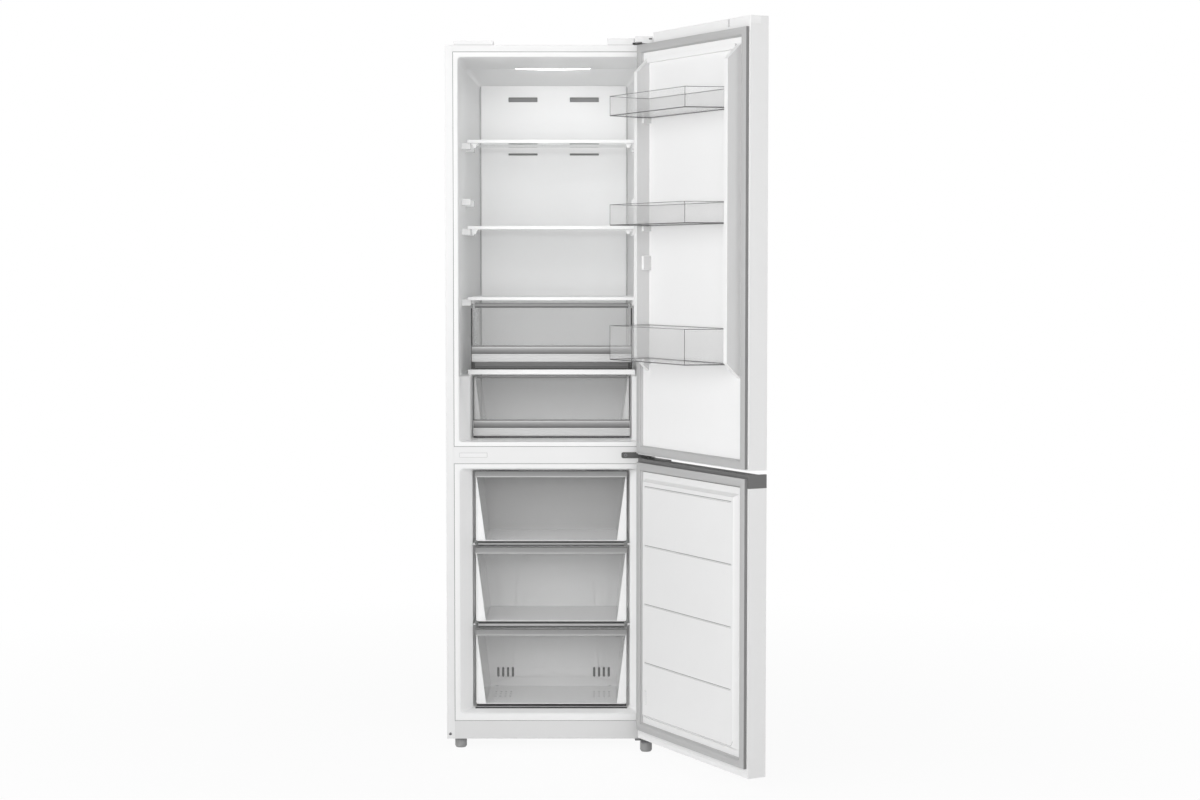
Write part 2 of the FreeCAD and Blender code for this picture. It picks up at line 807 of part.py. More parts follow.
# Evaporator cover with return-air slots at its foot and outlets at its head
cover_y = (evaporator_front - s.cover_thickness, evaporator_front)
return_z = (freezer_floor + s.return_slot_rise, freezer_floor + s.return_slot_rise + s.return_slot_height)
slot_round = s.return_slot_width / 2
slot_ends = (return_z[0] + slot_round, return_z[1] - slot_round)
outlet_low = freezer_ceiling - s.outlet_drop
return_slots = 4
cover_slots = []
for side in (-1, 1):
    group_x = (freezer_inner - s.return_group_inset) * side
    for number in range(return_slots):
        middle = group_x + s.return_slot_pitch * (number - (return_slots - 1) / 2)
        slot_x = (middle - slot_round, middle + slot_round)
        cover_slots.append(box("return_slot", slot_x, cover_y, slot_ends))
        for level in slot_ends:
            cover_slots.append(cylinder("return_slot_end", slot_round, middle, cover_y[0], level,
                                        s.cover_thickness, "Y"))
    outlet_x = (group_x - s.outlet_width / 2, group_x + s.outlet_width / 2)
    cover_slots.append(box("outlet", outlet_x, cover_y, (outlet_low, outlet_low + s.outlet_height)))
cover_plate = box("evaporator_cover_plate", both(freezer_inner), cover_y, (freezer_floor, freezer_ceiling))
node(cut("evaporator_cover", cover_plate, *cover_slots), "evaporator_cover")

# Evaporator: a serpentine tube through upright fins, standing on the step behind the cover
evaporator_y = freezer_back - s.evaporator_inset
evaporator_low = evaporator_floor + s.evaporator_pitch / 2
tube_count = 7
fin_count = 7
fin_top = evaporator_low + s.evaporator_pitch * tube_count - s.evaporator_pitch / 2
tubes = serpentine("evaporator_tube", s.tube_radius, freezer_inner - s.evaporator_side_gap,
                   s.evaporator_pitch, tube_count, evaporator_y, evaporator_low)
fins = []
for number in range(fin_count):
    middle = s.fin_pitch * (number - (fin_count - 1) / 2)
    fins.append(box("evaporator_fin", (middle - s.fin_thickness / 2, middle + s.fin_thickness / 2),
                    (evaporator_y - s.fin_depth / 2, evaporator_y + s.fin_depth / 2),
                    (evaporator_floor, fin_top)))
node(fuse("evaporator", tubes, *fins), "evaporator")

# Fan: motor on the liner's back wall, blade on its shaft
fan_z = freezer_ceiling - s.fan_drop
fan_y = evaporator_front + s.fan_set
motor = cylinder("motor_can", s.motor_radius, 0, freezer_back - s.motor_depth, fan_z, s.motor_depth, "Y")
shaft = cylinder("motor_shaft", s.shaft_radius, 0, fan_y, fan_z, freezer_back - fan_y, "Y")
node(fuse("fan_motor", motor, shaft), "fan_motor")

hub = cylinder("fan_hub", s.fan_hub_radius, 0, 0, 0, s.fan_hub_depth, "Y")
fan_parts = [hub]
blade_count = 5
for number in range(blade_count):
    blade = doc.addObject("Part::Box", "blade")
    blade.setExpression("Length", s.fan_radius.text)
    blade.setExpression("Width", s.blade_chord.text)
    blade.setExpression("Height", s.fin_thickness.text)
    tilt = FreeCAD.Rotation(Vector(1, 0, 0), s.blade_pitch.value)
    spin = FreeCAD.Rotation(Vector(0, 1, 0), 360 / blade_count * number)
    centre = Vector(0, s.fan_hub_depth.value / 2, 0)
    offset = tilt.multVec(Vector(0, -s.blade_chord.value / 2, -s.fin_thickness.value / 2))
    blade.Placement = FreeCAD.Placement(spin.multVec(offset) + centre, spin.multiply(tilt))
    fan_parts.append(blade)
shaft_hole = cylinder("shaft_hole", s.shaft_radius + s.running_gap, 0, 0, 0, s.fan_hub_depth, "Y")
fan = cut("fan_blade", fuse("fan_wheel", *fan_parts), shaft_hole)
node(place(fan, 0, fan_y + s.running_gap, fan_z), "fan_blade")

# Compressor on rubber mounts in the machine bay, with the drip tray on its head
bay_floor = bottom + s.tray_sheet
compressor_y = (bay_front + s.tray_sheet + back) / 2
plate_low = bay_floor + s.mount_height
body_low = plate_low + s.foot_plate
can_low = body_low + s.compressor_dome
can_top = can_low + s.compressor_body
can = cylinder("compressor_can", s.compressor_radius, s.compressor_x, compressor_y, can_low,
               s.compressor_body)
domes = []
for level in (can_low, can_top):
    dome = doc.addObject("Part::Ellipsoid", "compressor_dome")
    dome.setExpression("Radius1", s.compressor_dome.text)
    dome.setExpression("Radius2", s.compressor_radius.text)
    dome.setExpression("Radius3", s.compressor_radius.text)
    domes.append(place(dome, s.compressor_x, compressor_y, level))
mount_x = (s.compressor_x - s.mount_spread, s.compressor_x + s.mount_spread)
mount_y = (compressor_y - s.mount_depth, compressor_y + s.mount_depth)
sole = box("compressor_sole", (mount_x[0] - s.mount_radius, mount_x[1] + s.mount_radius),
           (mount_y[0] - s.mount_radius, mount_y[1] + s.mount_radius), (plate_low, body_low + s.foot_plate))
node(fuse("compressor", can, *domes, sole), "compressor")
rubbers = []
for x in mount_x:
    for y in mount_y:
        rubbers.append(cylinder("compressor_rubber", s.mount_radius, x, y, bay_floor, s.mount_height))
node(group("compressor_mounts", *rubbers), "compressor_mounts")
drip_low = can_top + s.compressor_dome + s.seat_gap
drip_x = (s.compressor_x - s.drip_half, s.compressor_x + s.drip_half)
drip_y = (compressor_y - s.drip_half, compressor_y + s.drip_half)
drip_box = box("drip_box", drip_x, drip_y, (drip_low, drip_low + s.drip_height))
drip_room = box("drip_room", (drip_x[0] + s.drip_wall, drip_x[1] - s.drip_wall),
                (drip_y[0] + s.drip_wall, drip_y[1] - s.drip_wall),
                (drip_low + s.drip_wall, drip_low + s.drip_height))
node(cut("drip_tray", drip_box, drip_room), "drip_tray")
inlet_top = s.bay_top - s.tray_sheet
inlet_x = s.inlet_inset - half
inlet_block = box("inlet_block", (inlet_x - s.inlet_width / 2, inlet_x + s.inlet_width / 2),
                  (back - s.inlet_depth, back), (inlet_top - s.inlet_height, inlet_top))
inlet_hole = cylinder("inlet_hole", s.inlet_bore, inlet_x, back - s.inlet_depth,
                      inlet_top - s.inlet_height / 2, s.inlet_depth, "Y")
node(cut("mains_inlet", inlet_block, inlet_hole), "mains_inlet")


# Levelling feet: a round pad with a threaded stud
def foot(label, x, y, pad_top, stud_top):
    cone = doc.addObject("Part::Cone", label + "_cone")
    cone.setExpression("Radius1", (s.foot_radius - s.foot_taper).text)
    cone.setExpression("Radius2", s.foot_radius.text)
    cone.setExpression("Height", s.foot_edge.text)
    place(cone, x, y, 0)
    disc = cylinder(label + "_disc", s.foot_radius, x, y, s.foot_edge, pad_top - s.foot_edge)
    stud = cylinder(label + "_stud", s.stud_radius, x, y, pad_top, stud_top - pad_top)
    node(fuse(label, cone, disc, stud), label)


right_foot_x = half - s.right_foot_inset
right_foot_y = -s.right_foot_set
bracket_low = bottom - s.lower_plate
foot("left_foot", left_foot_x, left_foot_y, bottom - s.seat_gap, bay_floor - s.seat_gap)
foot("right_foot", right_foot_x, right_foot_y, bracket_low - s.seat_gap, bottom + s.lower_plate)

wheels = []
for side in (-1, 1):
    start, end = side_span(side, ear_near + s.ear_gap, ear_far - s.ear_gap)
    wheel = cylinder("roller_wheel", roller_radius, start, roller_y, roller_axle, end - start, "X")
    wheel_bore = cylinder("roller_bore", s.axle_radius + s.running_gap, start, roller_y, roller_axle,
                          end - start, "X")
    wheels.append(cut("roller", wheel, wheel_bore))
node(group("rear_rollers", *wheels), "rear_rollers")

# Top hinge: plate on the roof, arm to the pin, pin down into the door
arm_left = pin_x - s.arm_width
hinge_back = s.hinge_set + s.hinge_depth
hinge_left = pin_x + s.arm_half - s.hinge_width
arm_outline = (
    (pin_x + s.arm_half, pin_y), (pin_x + s.arm_half, hinge_back), (hinge_left, hinge_back),
    (hinge_left, s.hinge_set), (arm_left, s.hinge_set), (pin_x - s.arm_half, pin_y),
)
top_plate = pad("top_hinge_plate", "XY_Plane", top, s.hinge_plate, arm_outline)
top_eye = cylinder("top_hinge_eye", s.arm_half, pin_x, pin_y, top, s.hinge_plate)
notch_level = top - s.notch_floor
top_pin = cylinder("top_hinge_pin", s.pin_radius, pin_x, pin_y, notch_level - s.pin_depth,
                   s.pin_depth + s.notch_floor)

# Middle hinge: plate on the mullion, arm in the gap between the doors, pin both ways
middle_low = gap_middle - s.middle_arm / 2
middle_left = pin_x - s.middle_length
middle_start = middle_left + s.middle_round
middle_z = (gap_middle - s.middle_height / 2, gap_middle + s.middle_height / 2)
round_z = (middle_z[0] + s.middle_round, middle_z[1] - s.middle_round)
middle_parts = [
    box("middle_plate_long", (middle_start, pin_x + s.arm_half), (-s.middle_plate, 0), middle_z),
    box("middle_plate_end", (middle_left, middle_start), (-s.middle_plate, 0), round_z),
]
for level in round_z:
    middle_parts.append(cylinder("middle_plate_corner", s.middle_round, middle_start, -s.middle_plate, level,
                                 s.middle_plate, "Y"))
middle_plate = fuse("middle_hinge_plate", *middle_parts)
middle_outline = (
    (pin_x + s.arm_half, pin_y), (pin_x + s.arm_half, -s.middle_plate / 2),
    (pin_x - s.middle_arm_width, -s.middle_plate / 2), (pin_x - s.arm_half, pin_y),
)
middle_arm = pad("middle_hinge_arm", "XY_Plane", middle_low, s.middle_arm, middle_outline)
middle_eye = cylinder("middle_hinge_eye", s.arm_half, pin_x, pin_y, middle_low, s.middle_arm)
middle_pin = cylinder("middle_hinge_pin", s.pin_radius, pin_x, pin_y, lower_top - s.pin_depth,
                      s.pin_depth * 2 + s.doors_gap)

# Lower hinge: bracket under the cabinet with a pin up into the lower door and a threaded hole for the foot
bracket_left = pin_x + s.arm_half - s.lower_length
bracket_z = (bracket_low, bottom)
bracket = fuse(
    "lower_hinge_bracket",
    box("lower_hinge_plate", (bracket_left, half), (-s.lower_set, s.lower_depth), bracket_z),
    box("lower_hinge_arm", (right_foot_x - s.lower_arm, half), (pin_y - s.arm_half, -s.lower_set), bracket_z),
)
stud_hole = cylinder("stud_hole", s.stud_radius + s.running_gap, right_foot_x, right_foot_y, bracket_low,
                     s.lower_plate)
lower_pin = cylinder("lower_hinge_pin", s.pin_radius, pin_x, pin_y, bottom, s.door_drop + s.pin_depth)

# Screws of the three hinges, each given by its seat, its axis and the sign of the way out
screws = []
holes = {"top_hinge": [], "middle_hinge": [], "lower_hinge": []}


def screw(hinge, x, y, z, axis, sign, depth):
    """Head on the plate and shank through its hole into the cabinet."""
    reach = s.screw_length
    if axis == "Z":
        head_z = z if sign > 0 else z - s.head_height
        shank_z = z - reach if sign > 0 else z
        head = cylinder("screw_head", s.screw_head, x, y, head_z, s.head_height)
        shank = cylinder("screw_shank", s.screw_radius, x, y, shank_z, reach)
        hole = cylinder("screw_hole", s.screw_radius + s.running_gap, x, y,
                        z - depth if sign > 0 else z, depth)
    else:
        head = cylinder("screw_head", s.screw_head, x, y - s.head_height, z, s.head_height, "Y")
        shank = cylinder("screw_shank", s.screw_radius, x, y, z, reach, "Y")
        hole = cylinder("screw_hole", s.screw_radius + s.running_gap, x, y, z, depth, "Y")
    screws.append(fuse("screw", head, shank))
    holes[hinge].append(hole)


top_screws = 3
for number in range(top_screws):
    screw("top_hinge", hinge_left + s.top_screw_edge + s.top_screw_pitch * number,
          (s.hinge_set + hinge_back) / 2, top + s.hinge_plate, "Z", 1, s.hinge_plate)
screw("middle_hinge", middle_left + s.middle_screw_edge, -s.middle_plate, gap_middle, "Y", -1, s.middle_plate)
lower_screws = 2
for number in range(lower_screws):
    screw("lower_hinge", bracket_left + s.screw_edge + s.lower_screw_pitch * number,
          s.lower_depth - s.screw_edge, bracket_low, "Z", -1, s.lower_plate)
node(cut("top_hinge", fuse("top_hinge_blank", top_plate, top_eye, top_pin), *holes["top_hinge"]), "top_hinge")
node(cut("middle_hinge", fuse("middle_hinge_blank", middle_plate, middle_arm, middle_eye, middle_pin),
         *holes["middle_hinge"]), "middle_hinge")
node(cut("lower_hinge", fuse("lower_hinge_blank", bracket, lower_pin), stud_hole, *holes["lower_hinge"]),
     "lower_hinge")
node(group("hinge_screws", *screws), "hinge_screws")

# Covers: hinge cover with its tongue on the right, blank cap on the left, blanking plug in the mullion
cover_right = half - s.cover_inset
cover_left = cover_right - s.cover_width
cover_y = (s.sheet, s.sheet + s.cover_depth)
cover_top = top + s.cover_height
room_z = (top, top + s.hinge_plate + s.head_height + s.cover_play)
cover_inside = cover_y[0] + s.cover_wall
hinge_room = box("hinge_cover_room", (hinge_left - s.cover_play, half),
                 (cover_inside, hinge_back + s.cover_play), room_z)
arm_gap = box("hinge_arm_gap", (arm_left - s.cover_play, half), (pin_y - half, cover_inside), room_z)
tongue_low = top + s.tongue_lift
tongue_right = pin_x + s.arm_half + s.cover_wall
tongue = box("hinge_tongue", (tongue_right - s.tongue_width, tongue_right),
             (pin_y - s.arm_half, cover_inside), (tongue_low, tongue_low + s.tongue_height))
skirt = box("hinge_skirt", (tongue_right - s.skirt_width, tongue_right),
            (pin_y - s.arm_half - s.cover_wall, pin_y - s.arm_half),
            (top + s.skirt_lift, tongue_low + s.tongue_height))
cover_box = box("hinge_cover_box", (cover_left, inside), cover_y, (top, cover_top))
cover_shell = cut("hinge_cover_shell", cover_box, hinge_room, arm_gap)
plug_left = -(half - s.plug_inset)
covers = group(
    "hinge_covers",
    fuse("hinge_cover", cover_shell, tongue, skirt),
    box("blank_cap", (-cover_right, -cover_left), cover_y, (top, top + s.cap_height)),
    box("mullion_plug", (plug_left, plug_left + s.plug_length), (-s.plug_proud, 0),
        (gap_middle - s.plug_height / 2, gap_middle + s.plug_height / 2)),
)
node(covers, "hinge_covers")


# Doors, modelled closed and then swung open
def shell_profile(name, low, high):
    """Folded steel skin: front and both sides."""
    outline = (
        (-half, inner_face), (-half, outer_face), (half, outer_face), (half, inner_face),
        (inside, inner_face), (inside, outer_face + s.sheet),
        (-inside, outer_face + s.sheet), (-inside, inner_face),
    )
    return pad(name, "XY_Plane", low, as_size(high) - low, outline)


def gasket(label, low, high):
    """Soft ring whose sealing face slopes away at its outer edge, so that it swings clear."""
    out_half = half - s.gasket_inset
    seal = -s.gasket_gap
    shoulder = seal - s.gasket_fall
    outer = (both(out_half), (low, high))
    face = (both(out_half - s.gasket_slope), (low + s.gasket_slope, high - s.gasket_slope))
    ring = fuse(label + "_outside", box(label + "_foot", outer[0], (inner_face, shoulder), outer[1]),
                wedge(label + "_seal", (shoulder, seal), outer, face))
    hollow = box(label + "_inside", both(out_half - s.gasket_width), (inner_face, seal),
                 (low + s.gasket_width, high - s.gasket_width))
    door_node(cut(label, ring, hollow), label)


door_core = (both(inside), (outer_face + s.sheet, inner_face))
pin_bore = s.pin_radius + s.running_gap
cap_low = upper_top - s.top_cap
notch_front = outer_face + s.notch_wall
notch = ((half - s.hinge_notch, half), (notch_front, inner_face), (notch_level, upper_top))
corner_y = (inner_face - s.corner_plug_depth, inner_face)
corner_z = (upper_top - s.corner_plug_height, upper_top)
corner = ((-half, -inside), corner_y, corner_z)
upper_skin = shell_profile("upper_shell_skin", upper_bottom, upper_top)
door_node(cut("upper_door_shell", upper_skin, box("hinge_notch", *notch), box("corner_notch", *corner)),
          "upper_door_shell")

top_block = box("top_cap_block", *door_core, (cap_low, upper_top))
top_corner = box("top_cap_corner", *corner)
cap_slot_x = -half + s.slot_from_edge
top_tools = (
    box("cap_notch", *notch),
    box("cap_slot", (cap_slot_x, cap_slot_x + s.cap_slot), corner_y, corner_z),
    cylinder("top_bore", pin_bore, pin_x, pin_y, cap_low, s.top_cap),
)
top_piece = cut("door_top_cap", fuse("top_cap_blank", top_block, top_corner), *top_tools)
foot_block = box("bottom_cap_block", *door_core, (upper_bottom, upper_bottom + s.cap_thickness))
foot_bore = cylinder("bottom_bore", pin_bore, pin_x, pin_y, upper_bottom, s.cap_thickness)
foot_piece = cut("door_bottom_cap", foot_block, foot_bore)
door_node(group("upper_door_caps", top_piece, foot_piece), "upper_door_caps")

foam_y = (outer_face + s.sheet, inner_face - s.liner_wall)
plate_span = (inner_face - s.liner_wall, inner_face)
upper_core = (upper_bottom + s.cap_thickness, cap_low)
door_node(group("upper_door_insulation", box("upper_foam", both(inside), foam_y, upper_core)),
          "upper_door_insulation")
gasket("upper_door_gasket", upper_bottom + s.gasket_foot, upper_top - s.gasket_head)

# Upper door liner: flat sheet, two upright dykes with sloped ends, a ridge across the top and the bins' lugs
dyke_out = fridge_half - s.dyke_gap
dyke_in = dyke_out - s.dyke_width
dyke_low = ledge + s.dyke_rise
dyke_high = fridge_top - s.dyke_drop
dyke_face = inner_face + s.dyke_height
bottom_bin = dyke_low + s.bottom_bin_rise
top_bin = dyke_high - s.top_bin_drop
middle_bin = bottom_bin + (top_bin - bottom_bin) * s.middle_bin_share
spare_bin = bottom_bin + (middle_bin - bottom_bin) * s.spare_bin_share
liner_parts = [box("upper_liner_sheet", both(inside), plate_span, upper_core)]
for side in (-1, 1):
    base = (side_span(side, dyke_in, dyke_out), (dyke_low, dyke_high))
    crest = (side_span(side, dyke_in, dyke_out - s.dyke_draft),
             (dyke_low + s.dyke_height, dyke_high - s.dyke_height))
    liner_parts.append(wedge("dyke", (inner_face, dyke_face), base, crest))
    for level in (bottom_bin, middle_bin, top_bin, spare_bin):
        lug_top = level - s.seat_gap
        liner_parts.append(box("bin_lug", side_span(side, dyke_in - s.bin_lug, dyke_in),
                               (inner_face, inner_face + s.bin_lug_depth),
                               (lug_top - s.bin_lug_height, lug_top)))
liner_parts.append(box("top_ridge", both(dyke_in), (inner_face, inner_face + s.ridge_depth),
                       (dyke_high - s.ridge_height, dyke_high)))
door_node(fuse("upper_door_liner", *liner_parts), "upper_door_liner")


# Door bins: clear trays whose ends slant in towards the front
def bin_outline(grow):
    """Outline in plan, drawn in by the wall."""
    side = dyke_in - s.bin_gap - grow
    front = side - s.bin_front_inset
    near = inner_face + s.bin_gap + grow
    far = bar_front - s.bin_clearance - grow
    return ((side, near), (side, dyke_face), (front, far), (-front, far), (-side, dyke_face), (-side, near))


bin_levels = (
    ("top_bin", top_bin, s.top_bin_height),
    ("middle_bin", middle_bin, s.middle_bin_height),
    ("bottom_bin", bottom_bin, s.bottom_bin_height),
)
for label, level, height in bin_levels:
    outside = pad(label + "_outside", "XY_Plane", level, height, bin_outline(as_size(0)))
    hollow = pad(label + "_hollow", "XY_Plane", level + s.bin_wall, height, bin_outline(s.bin_wall))
    door_node(cut(label, outside, hollow), label)

# Lower door: skin between the grip profile and the bottom cap
grip_low = lower_top - s.grip_height
lower_core = (lower_bottom + s.cap_thickness, grip_low)
lower_skin = shell_profile("lower_shell_skin", lower_bottom, grip_low)
door_node(group("lower_door_shell", lower_skin), "lower_door_shell")
grip_block = box("grip_block", both(half), (outer_face, inner_face), (grip_low, lower_top))
finger_room = box("finger_room", (-half + s.grip_end, half - s.grip_stop),
                  (outer_face, outer_face + s.grip_recess), (grip_low + s.grip_floor, lower_top))
grip_bore = cylinder("grip_bore", pin_bore, pin_x, pin_y, grip_low, s.grip_height)
door_node(cut("lower_door_grip", grip_block, finger_room, grip_bore), "lower_door_grip")
lower_cap = box("lower_cap_block", *door_core, (lower_bottom, lower_bottom + s.cap_thickness))
lower_bore = cylinder("lower_bore", pin_bore, pin_x, pin_y, lower_bottom, s.cap_thickness)
door_node(cut("lower_door_cap", lower_cap, lower_bore), "lower_door_cap")
door_node(group("lower_door_insulation", box("lower_foam", both(inside), foam_y, lower_core)),
          "lower_door_insulation")
gasket("lower_door_gasket", lower_bottom + s.lower_gasket_foot, lower_top - s.lower_gasket_head)

# Lower door liner: a raised plug with drafted edges and level grooves
plug_half = freezer_half - s.plug_side_gap
plug_z = (freezer_bottom + s.plug_foot_gap, freezer_top - s.plug_head_gap)
plug_face = inner_face + s.plug_rise
raised = wedge("lower_plug", (inner_face, plug_face), (both(plug_half), plug_z),
               (both(plug_half - s.plug_draft), (plug_z[0] + s.plug_draft, plug_z[1] - s.plug_draft)))
sheet_plate = box("lower_liner_sheet", both(inside), plate_span, lower_core)
groove_count = 4
grooves = []
for number in range(groove_count):
    level = plug_z[1] - s.groove_drop - s.groove_pitch * number
    grooves.append(box("groove", both(plug_half - s.groove_margin), (plug_face - s.groove_depth, plug_face),
                       (level - s.groove_height, level)))
lower_blank = fuse("lower_liner_blank", sheet_plate, raised)
door_node(cut("lower_door_liner", lower_blank, *grooves), "lower_door_liner")

doc.recompute()

# Every object has to have recomputed, and every piece has to be a sound solid
failed = [item.Name for item in doc.Objects if "Invalid" in item.State or "Error" in item.State]
if failed:
    raise RuntimeError(f"failed objects: {failed}")
for piece in nodes:
    if piece.Shape.isNull() or not piece.Shape.isValid() or piece.Shape.Volume <= 0:
        raise RuntimeError(f"unsound piece: {piece.Label}")

os.makedirs("parts", exist_ok=True)
for piece in nodes:
    piece.Shape.exportStep(f"parts/{piece.Label}.step")
print(len(nodes), "pieces,", sum(len(piece.Shape.Solids) for piece in nodes), "solids")
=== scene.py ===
"""Looks and fine pieces of the refrigerator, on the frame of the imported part."""
import json
import math

import bmesh
import bpy
from mathutils import Matrix, Vector

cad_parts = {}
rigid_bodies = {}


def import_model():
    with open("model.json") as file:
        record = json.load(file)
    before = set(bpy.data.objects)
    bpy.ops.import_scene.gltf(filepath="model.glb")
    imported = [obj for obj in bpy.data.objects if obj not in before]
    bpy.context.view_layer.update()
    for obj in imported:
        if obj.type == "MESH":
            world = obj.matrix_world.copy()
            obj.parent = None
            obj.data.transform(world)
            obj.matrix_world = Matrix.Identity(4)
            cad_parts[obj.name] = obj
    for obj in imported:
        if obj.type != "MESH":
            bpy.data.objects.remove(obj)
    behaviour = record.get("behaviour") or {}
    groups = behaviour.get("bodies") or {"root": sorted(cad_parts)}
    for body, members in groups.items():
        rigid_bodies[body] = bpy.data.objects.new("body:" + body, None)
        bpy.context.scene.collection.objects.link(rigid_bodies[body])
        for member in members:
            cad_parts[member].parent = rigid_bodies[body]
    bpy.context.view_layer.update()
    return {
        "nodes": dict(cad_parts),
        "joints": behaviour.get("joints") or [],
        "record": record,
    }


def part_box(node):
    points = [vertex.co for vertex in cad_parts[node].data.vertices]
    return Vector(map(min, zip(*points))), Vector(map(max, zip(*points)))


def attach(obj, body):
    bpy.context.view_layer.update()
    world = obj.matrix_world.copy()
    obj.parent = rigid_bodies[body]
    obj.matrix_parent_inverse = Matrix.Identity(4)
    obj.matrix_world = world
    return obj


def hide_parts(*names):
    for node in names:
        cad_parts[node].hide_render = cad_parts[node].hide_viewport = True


MM = 0.001
UP = (0, 0, 1)
DEEP = (0, 1, 0)
SIDES = (("left", -1), ("right", 1))

for item in list(bpy.data.objects):
    bpy.data.objects.remove(item)

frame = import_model()
nodes = frame["nodes"]

# The doors stand open at rest. Their pieces are drawn shut and then swung open with this matrix
door_joint = next(joint for joint in frame["joints"] if joint["name"] == "upper_door_hinge")
PIN = Vector(door_joint["pos_m"])
OPEN_ANGLE = -math.radians(door_joint["range_deg"][0])
SWING = Matrix.Translation(PIN) @ Matrix.Rotation(OPEN_ANGLE, 4, "Z") @ Matrix.Translation(-PIN)
SHUT = SWING.inverted()


def shut_points(node):
    """Points of a door's node with the door shut."""
    return [SHUT @ vertex.co for vertex in nodes[node].data.vertices]


def shut_box(node):
    """Lowest and highest corner of a door's node with the door shut."""
    points = shut_points(node)
    low = Vector(min(point[axis] for point in points) for axis in range(3))
    high = Vector(max(point[axis] for point in points) for axis in range(3))
    return low, high


# Materials. Scales of noise are per metre, levels of grey run from 0 to 1
DRIFT = 2.5
GRAIN = 700.0
FINE_DETAIL = 2.0
GLOSS_FINER = 12
GLOSS_SPREAD = 0.04
RELIEF = 0.3 * MM
CLEAR_BLEND = 0.35
FLANK_FROM = 0.6
FLANK_TO = 0.95


def grey(level):
    """A neutral colour."""
    return (level, level, level)


def principled(name):
    """A new material, its node tree and its shader."""
    material = bpy.data.materials.new(name)
    material.use_nodes = True
    tree = material.node_tree
    return material, tree, tree.nodes["Principled BSDF"]


def noise(tree, scale, detail=3.0, stretch=(1, 1, 1)):
    """Noise over the object, in its own metres."""
    place = tree.nodes.new("ShaderNodeTexCoord")
    mapping = tree.nodes.new("ShaderNodeMapping")
    mapping.inputs["Scale"].default_value = stretch
    field = tree.nodes.new("ShaderNodeTexNoise")
    field.inputs["Scale"].default_value = scale
    field.inputs["Detail"].default_value = detail
    tree.links.new(place.outputs["Object"], mapping.inputs["Vector"])
    tree.links.new(mapping.outputs["Vector"], field.inputs["Vector"])
    return field.outputs[0]


def remap(tree, value, low, high, start=0.0, end=1.0):
    """A number between low and high, by a value that goes from start to end."""
    ranged = tree.nodes.new("ShaderNodeMapRange")
    for socket, number in (("From Min", start), ("From Max", end), ("To Min", low), ("To Max", high)):
        ranged.inputs[socket].default_value = number
    tree.links.new(value, ranged.inputs["Value"])
    return ranged.outputs[0]


def height_factor(tree, low, high):
    """0 at the height low, 1 at the height high."""
    place = tree.nodes.new("ShaderNodeTexCoord")
    axes = tree.nodes.new("ShaderNodeSeparateXYZ")
    tree.links.new(place.outputs["Object"], axes.inputs["Vector"])
    return remap(tree, axes.outputs["Z"], 0, 1, low, high)


def mixed(tree, factor, first, second):
    """A colour between two, by a factor."""
    mix = tree.nodes.new("ShaderNodeMix")
    mix.data_type = "RGBA"
    colours = [socket for socket in mix.inputs if socket.type == "RGBA"]
    colours[0].default_value = (*first, 1)
    colours[1].default_value = (*second, 1)
    tree.links.new(factor, mix.inputs["Factor"])
    return next(socket for socket in mix.outputs if socket.type == "RGBA")


def grained(name, rough, drift=DRIFT, grain=GRAIN, bump=0.04, stretch=(1, 1, 1), sockets=None):
    """A material with uneven gloss and a fine grain, still without its colour."""
    material, tree, shader = principled(name)
    gloss = noise(tree, drift * GLOSS_FINER, FINE_DETAIL, stretch)
    uneven = remap(tree, gloss, rough * (1 - GLOSS_SPREAD), rough * (1 + GLOSS_SPREAD))
    tree.links.new(uneven, shader.inputs["Roughness"])
    relief = tree.nodes.new("ShaderNodeBump")
    relief.inputs["Strength"].default_value = bump
    relief.inputs["Distance"].default_value = RELIEF
    tree.links.new(noise(tree, grain, FINE_DETAIL, stretch), relief.inputs["Height"])
    tree.links.new(relief.outputs["Normal"], shader.inputs["Normal"])
    for socket, value in (sockets or {}).items():
        shader.inputs[socket].default_value = value
    return material, tree, shader


def surface(name, colour, rough, tint=0.02, drift=DRIFT, **more):
    """Painted, moulded or cast surface with a slow drift of its colour."""
    material, tree, shader = grained(name, rough, drift, **more)
    darker = tuple(channel * (1 - tint) for channel in colour)
    lighter = tuple(min(1, channel * (1 + tint)) for channel in colour)
    tree.links.new(mixed(tree, noise(tree, drift), darker, lighter), shader.inputs["Base Color"])
    return material


def see_through(name, colour, rough, face_on, edge_on):
    """Thin clear material: it hides more of what is behind it where it is seen edge on."""
    material = surface(name, colour, rough, tint=0.03, bump=0.01)
    tree = material.node_tree
    slant = tree.nodes.new("ShaderNodeLayerWeight")
    slant.inputs["Blend"].default_value = CLEAR_BLEND
    alpha = remap(tree, slant.outputs["Facing"], face_on, edge_on)
    tree.links.new(alpha, tree.nodes["Principled BSDF"].inputs["Alpha"])
    return material


def banded(name, bands, low, high, rough, sockets=None):
    """A surface whose level changes with height through (share of the height, level) pairs, for painted shade
    and highlights.
    """
    material, tree, shader = grained(name, rough, bump=0.02, sockets=sockets)
    ramp = tree.nodes.new("ShaderNodeValToRGB")
    stops = ramp.color_ramp.elements
    while len(stops) < len(bands):
        stops.new(0.5)
    for stop, (share, level) in zip(stops, bands):
        stop.position = share
        stop.color = (*grey(level), 1)
    tree.links.new(height_factor(tree, low, high), ramp.inputs["Fac"])
    tree.links.new(ramp.outputs["Color"], shader.inputs["Base Color"])
    return material


def flank_shaded(name, level, flank_shade_level, way, rough):
    """A surface with painted shade on the faces that look the way given, in the object's own axes."""
    material, tree, shader = grained(name, rough)
    place = tree.nodes.new("ShaderNodeTexCoord")
    share = tree.nodes.new("ShaderNodeVectorMath")
    share.operation = "DOT_PRODUCT"
    share.inputs[1].default_value = way
    tree.links.new(place.outputs["Normal"], share.inputs[0])
    turned = remap(tree, share.outputs["Value"], 0, 1, FLANK_FROM, FLANK_TO)
    tree.links.new(mixed(tree, turned, grey(level), grey(flank_shade_level)), shader.inputs["Base Color"])
    return material


def metal(share):
    """Shader sockets of a partly metallic surface."""
    return {"Metallic": share}


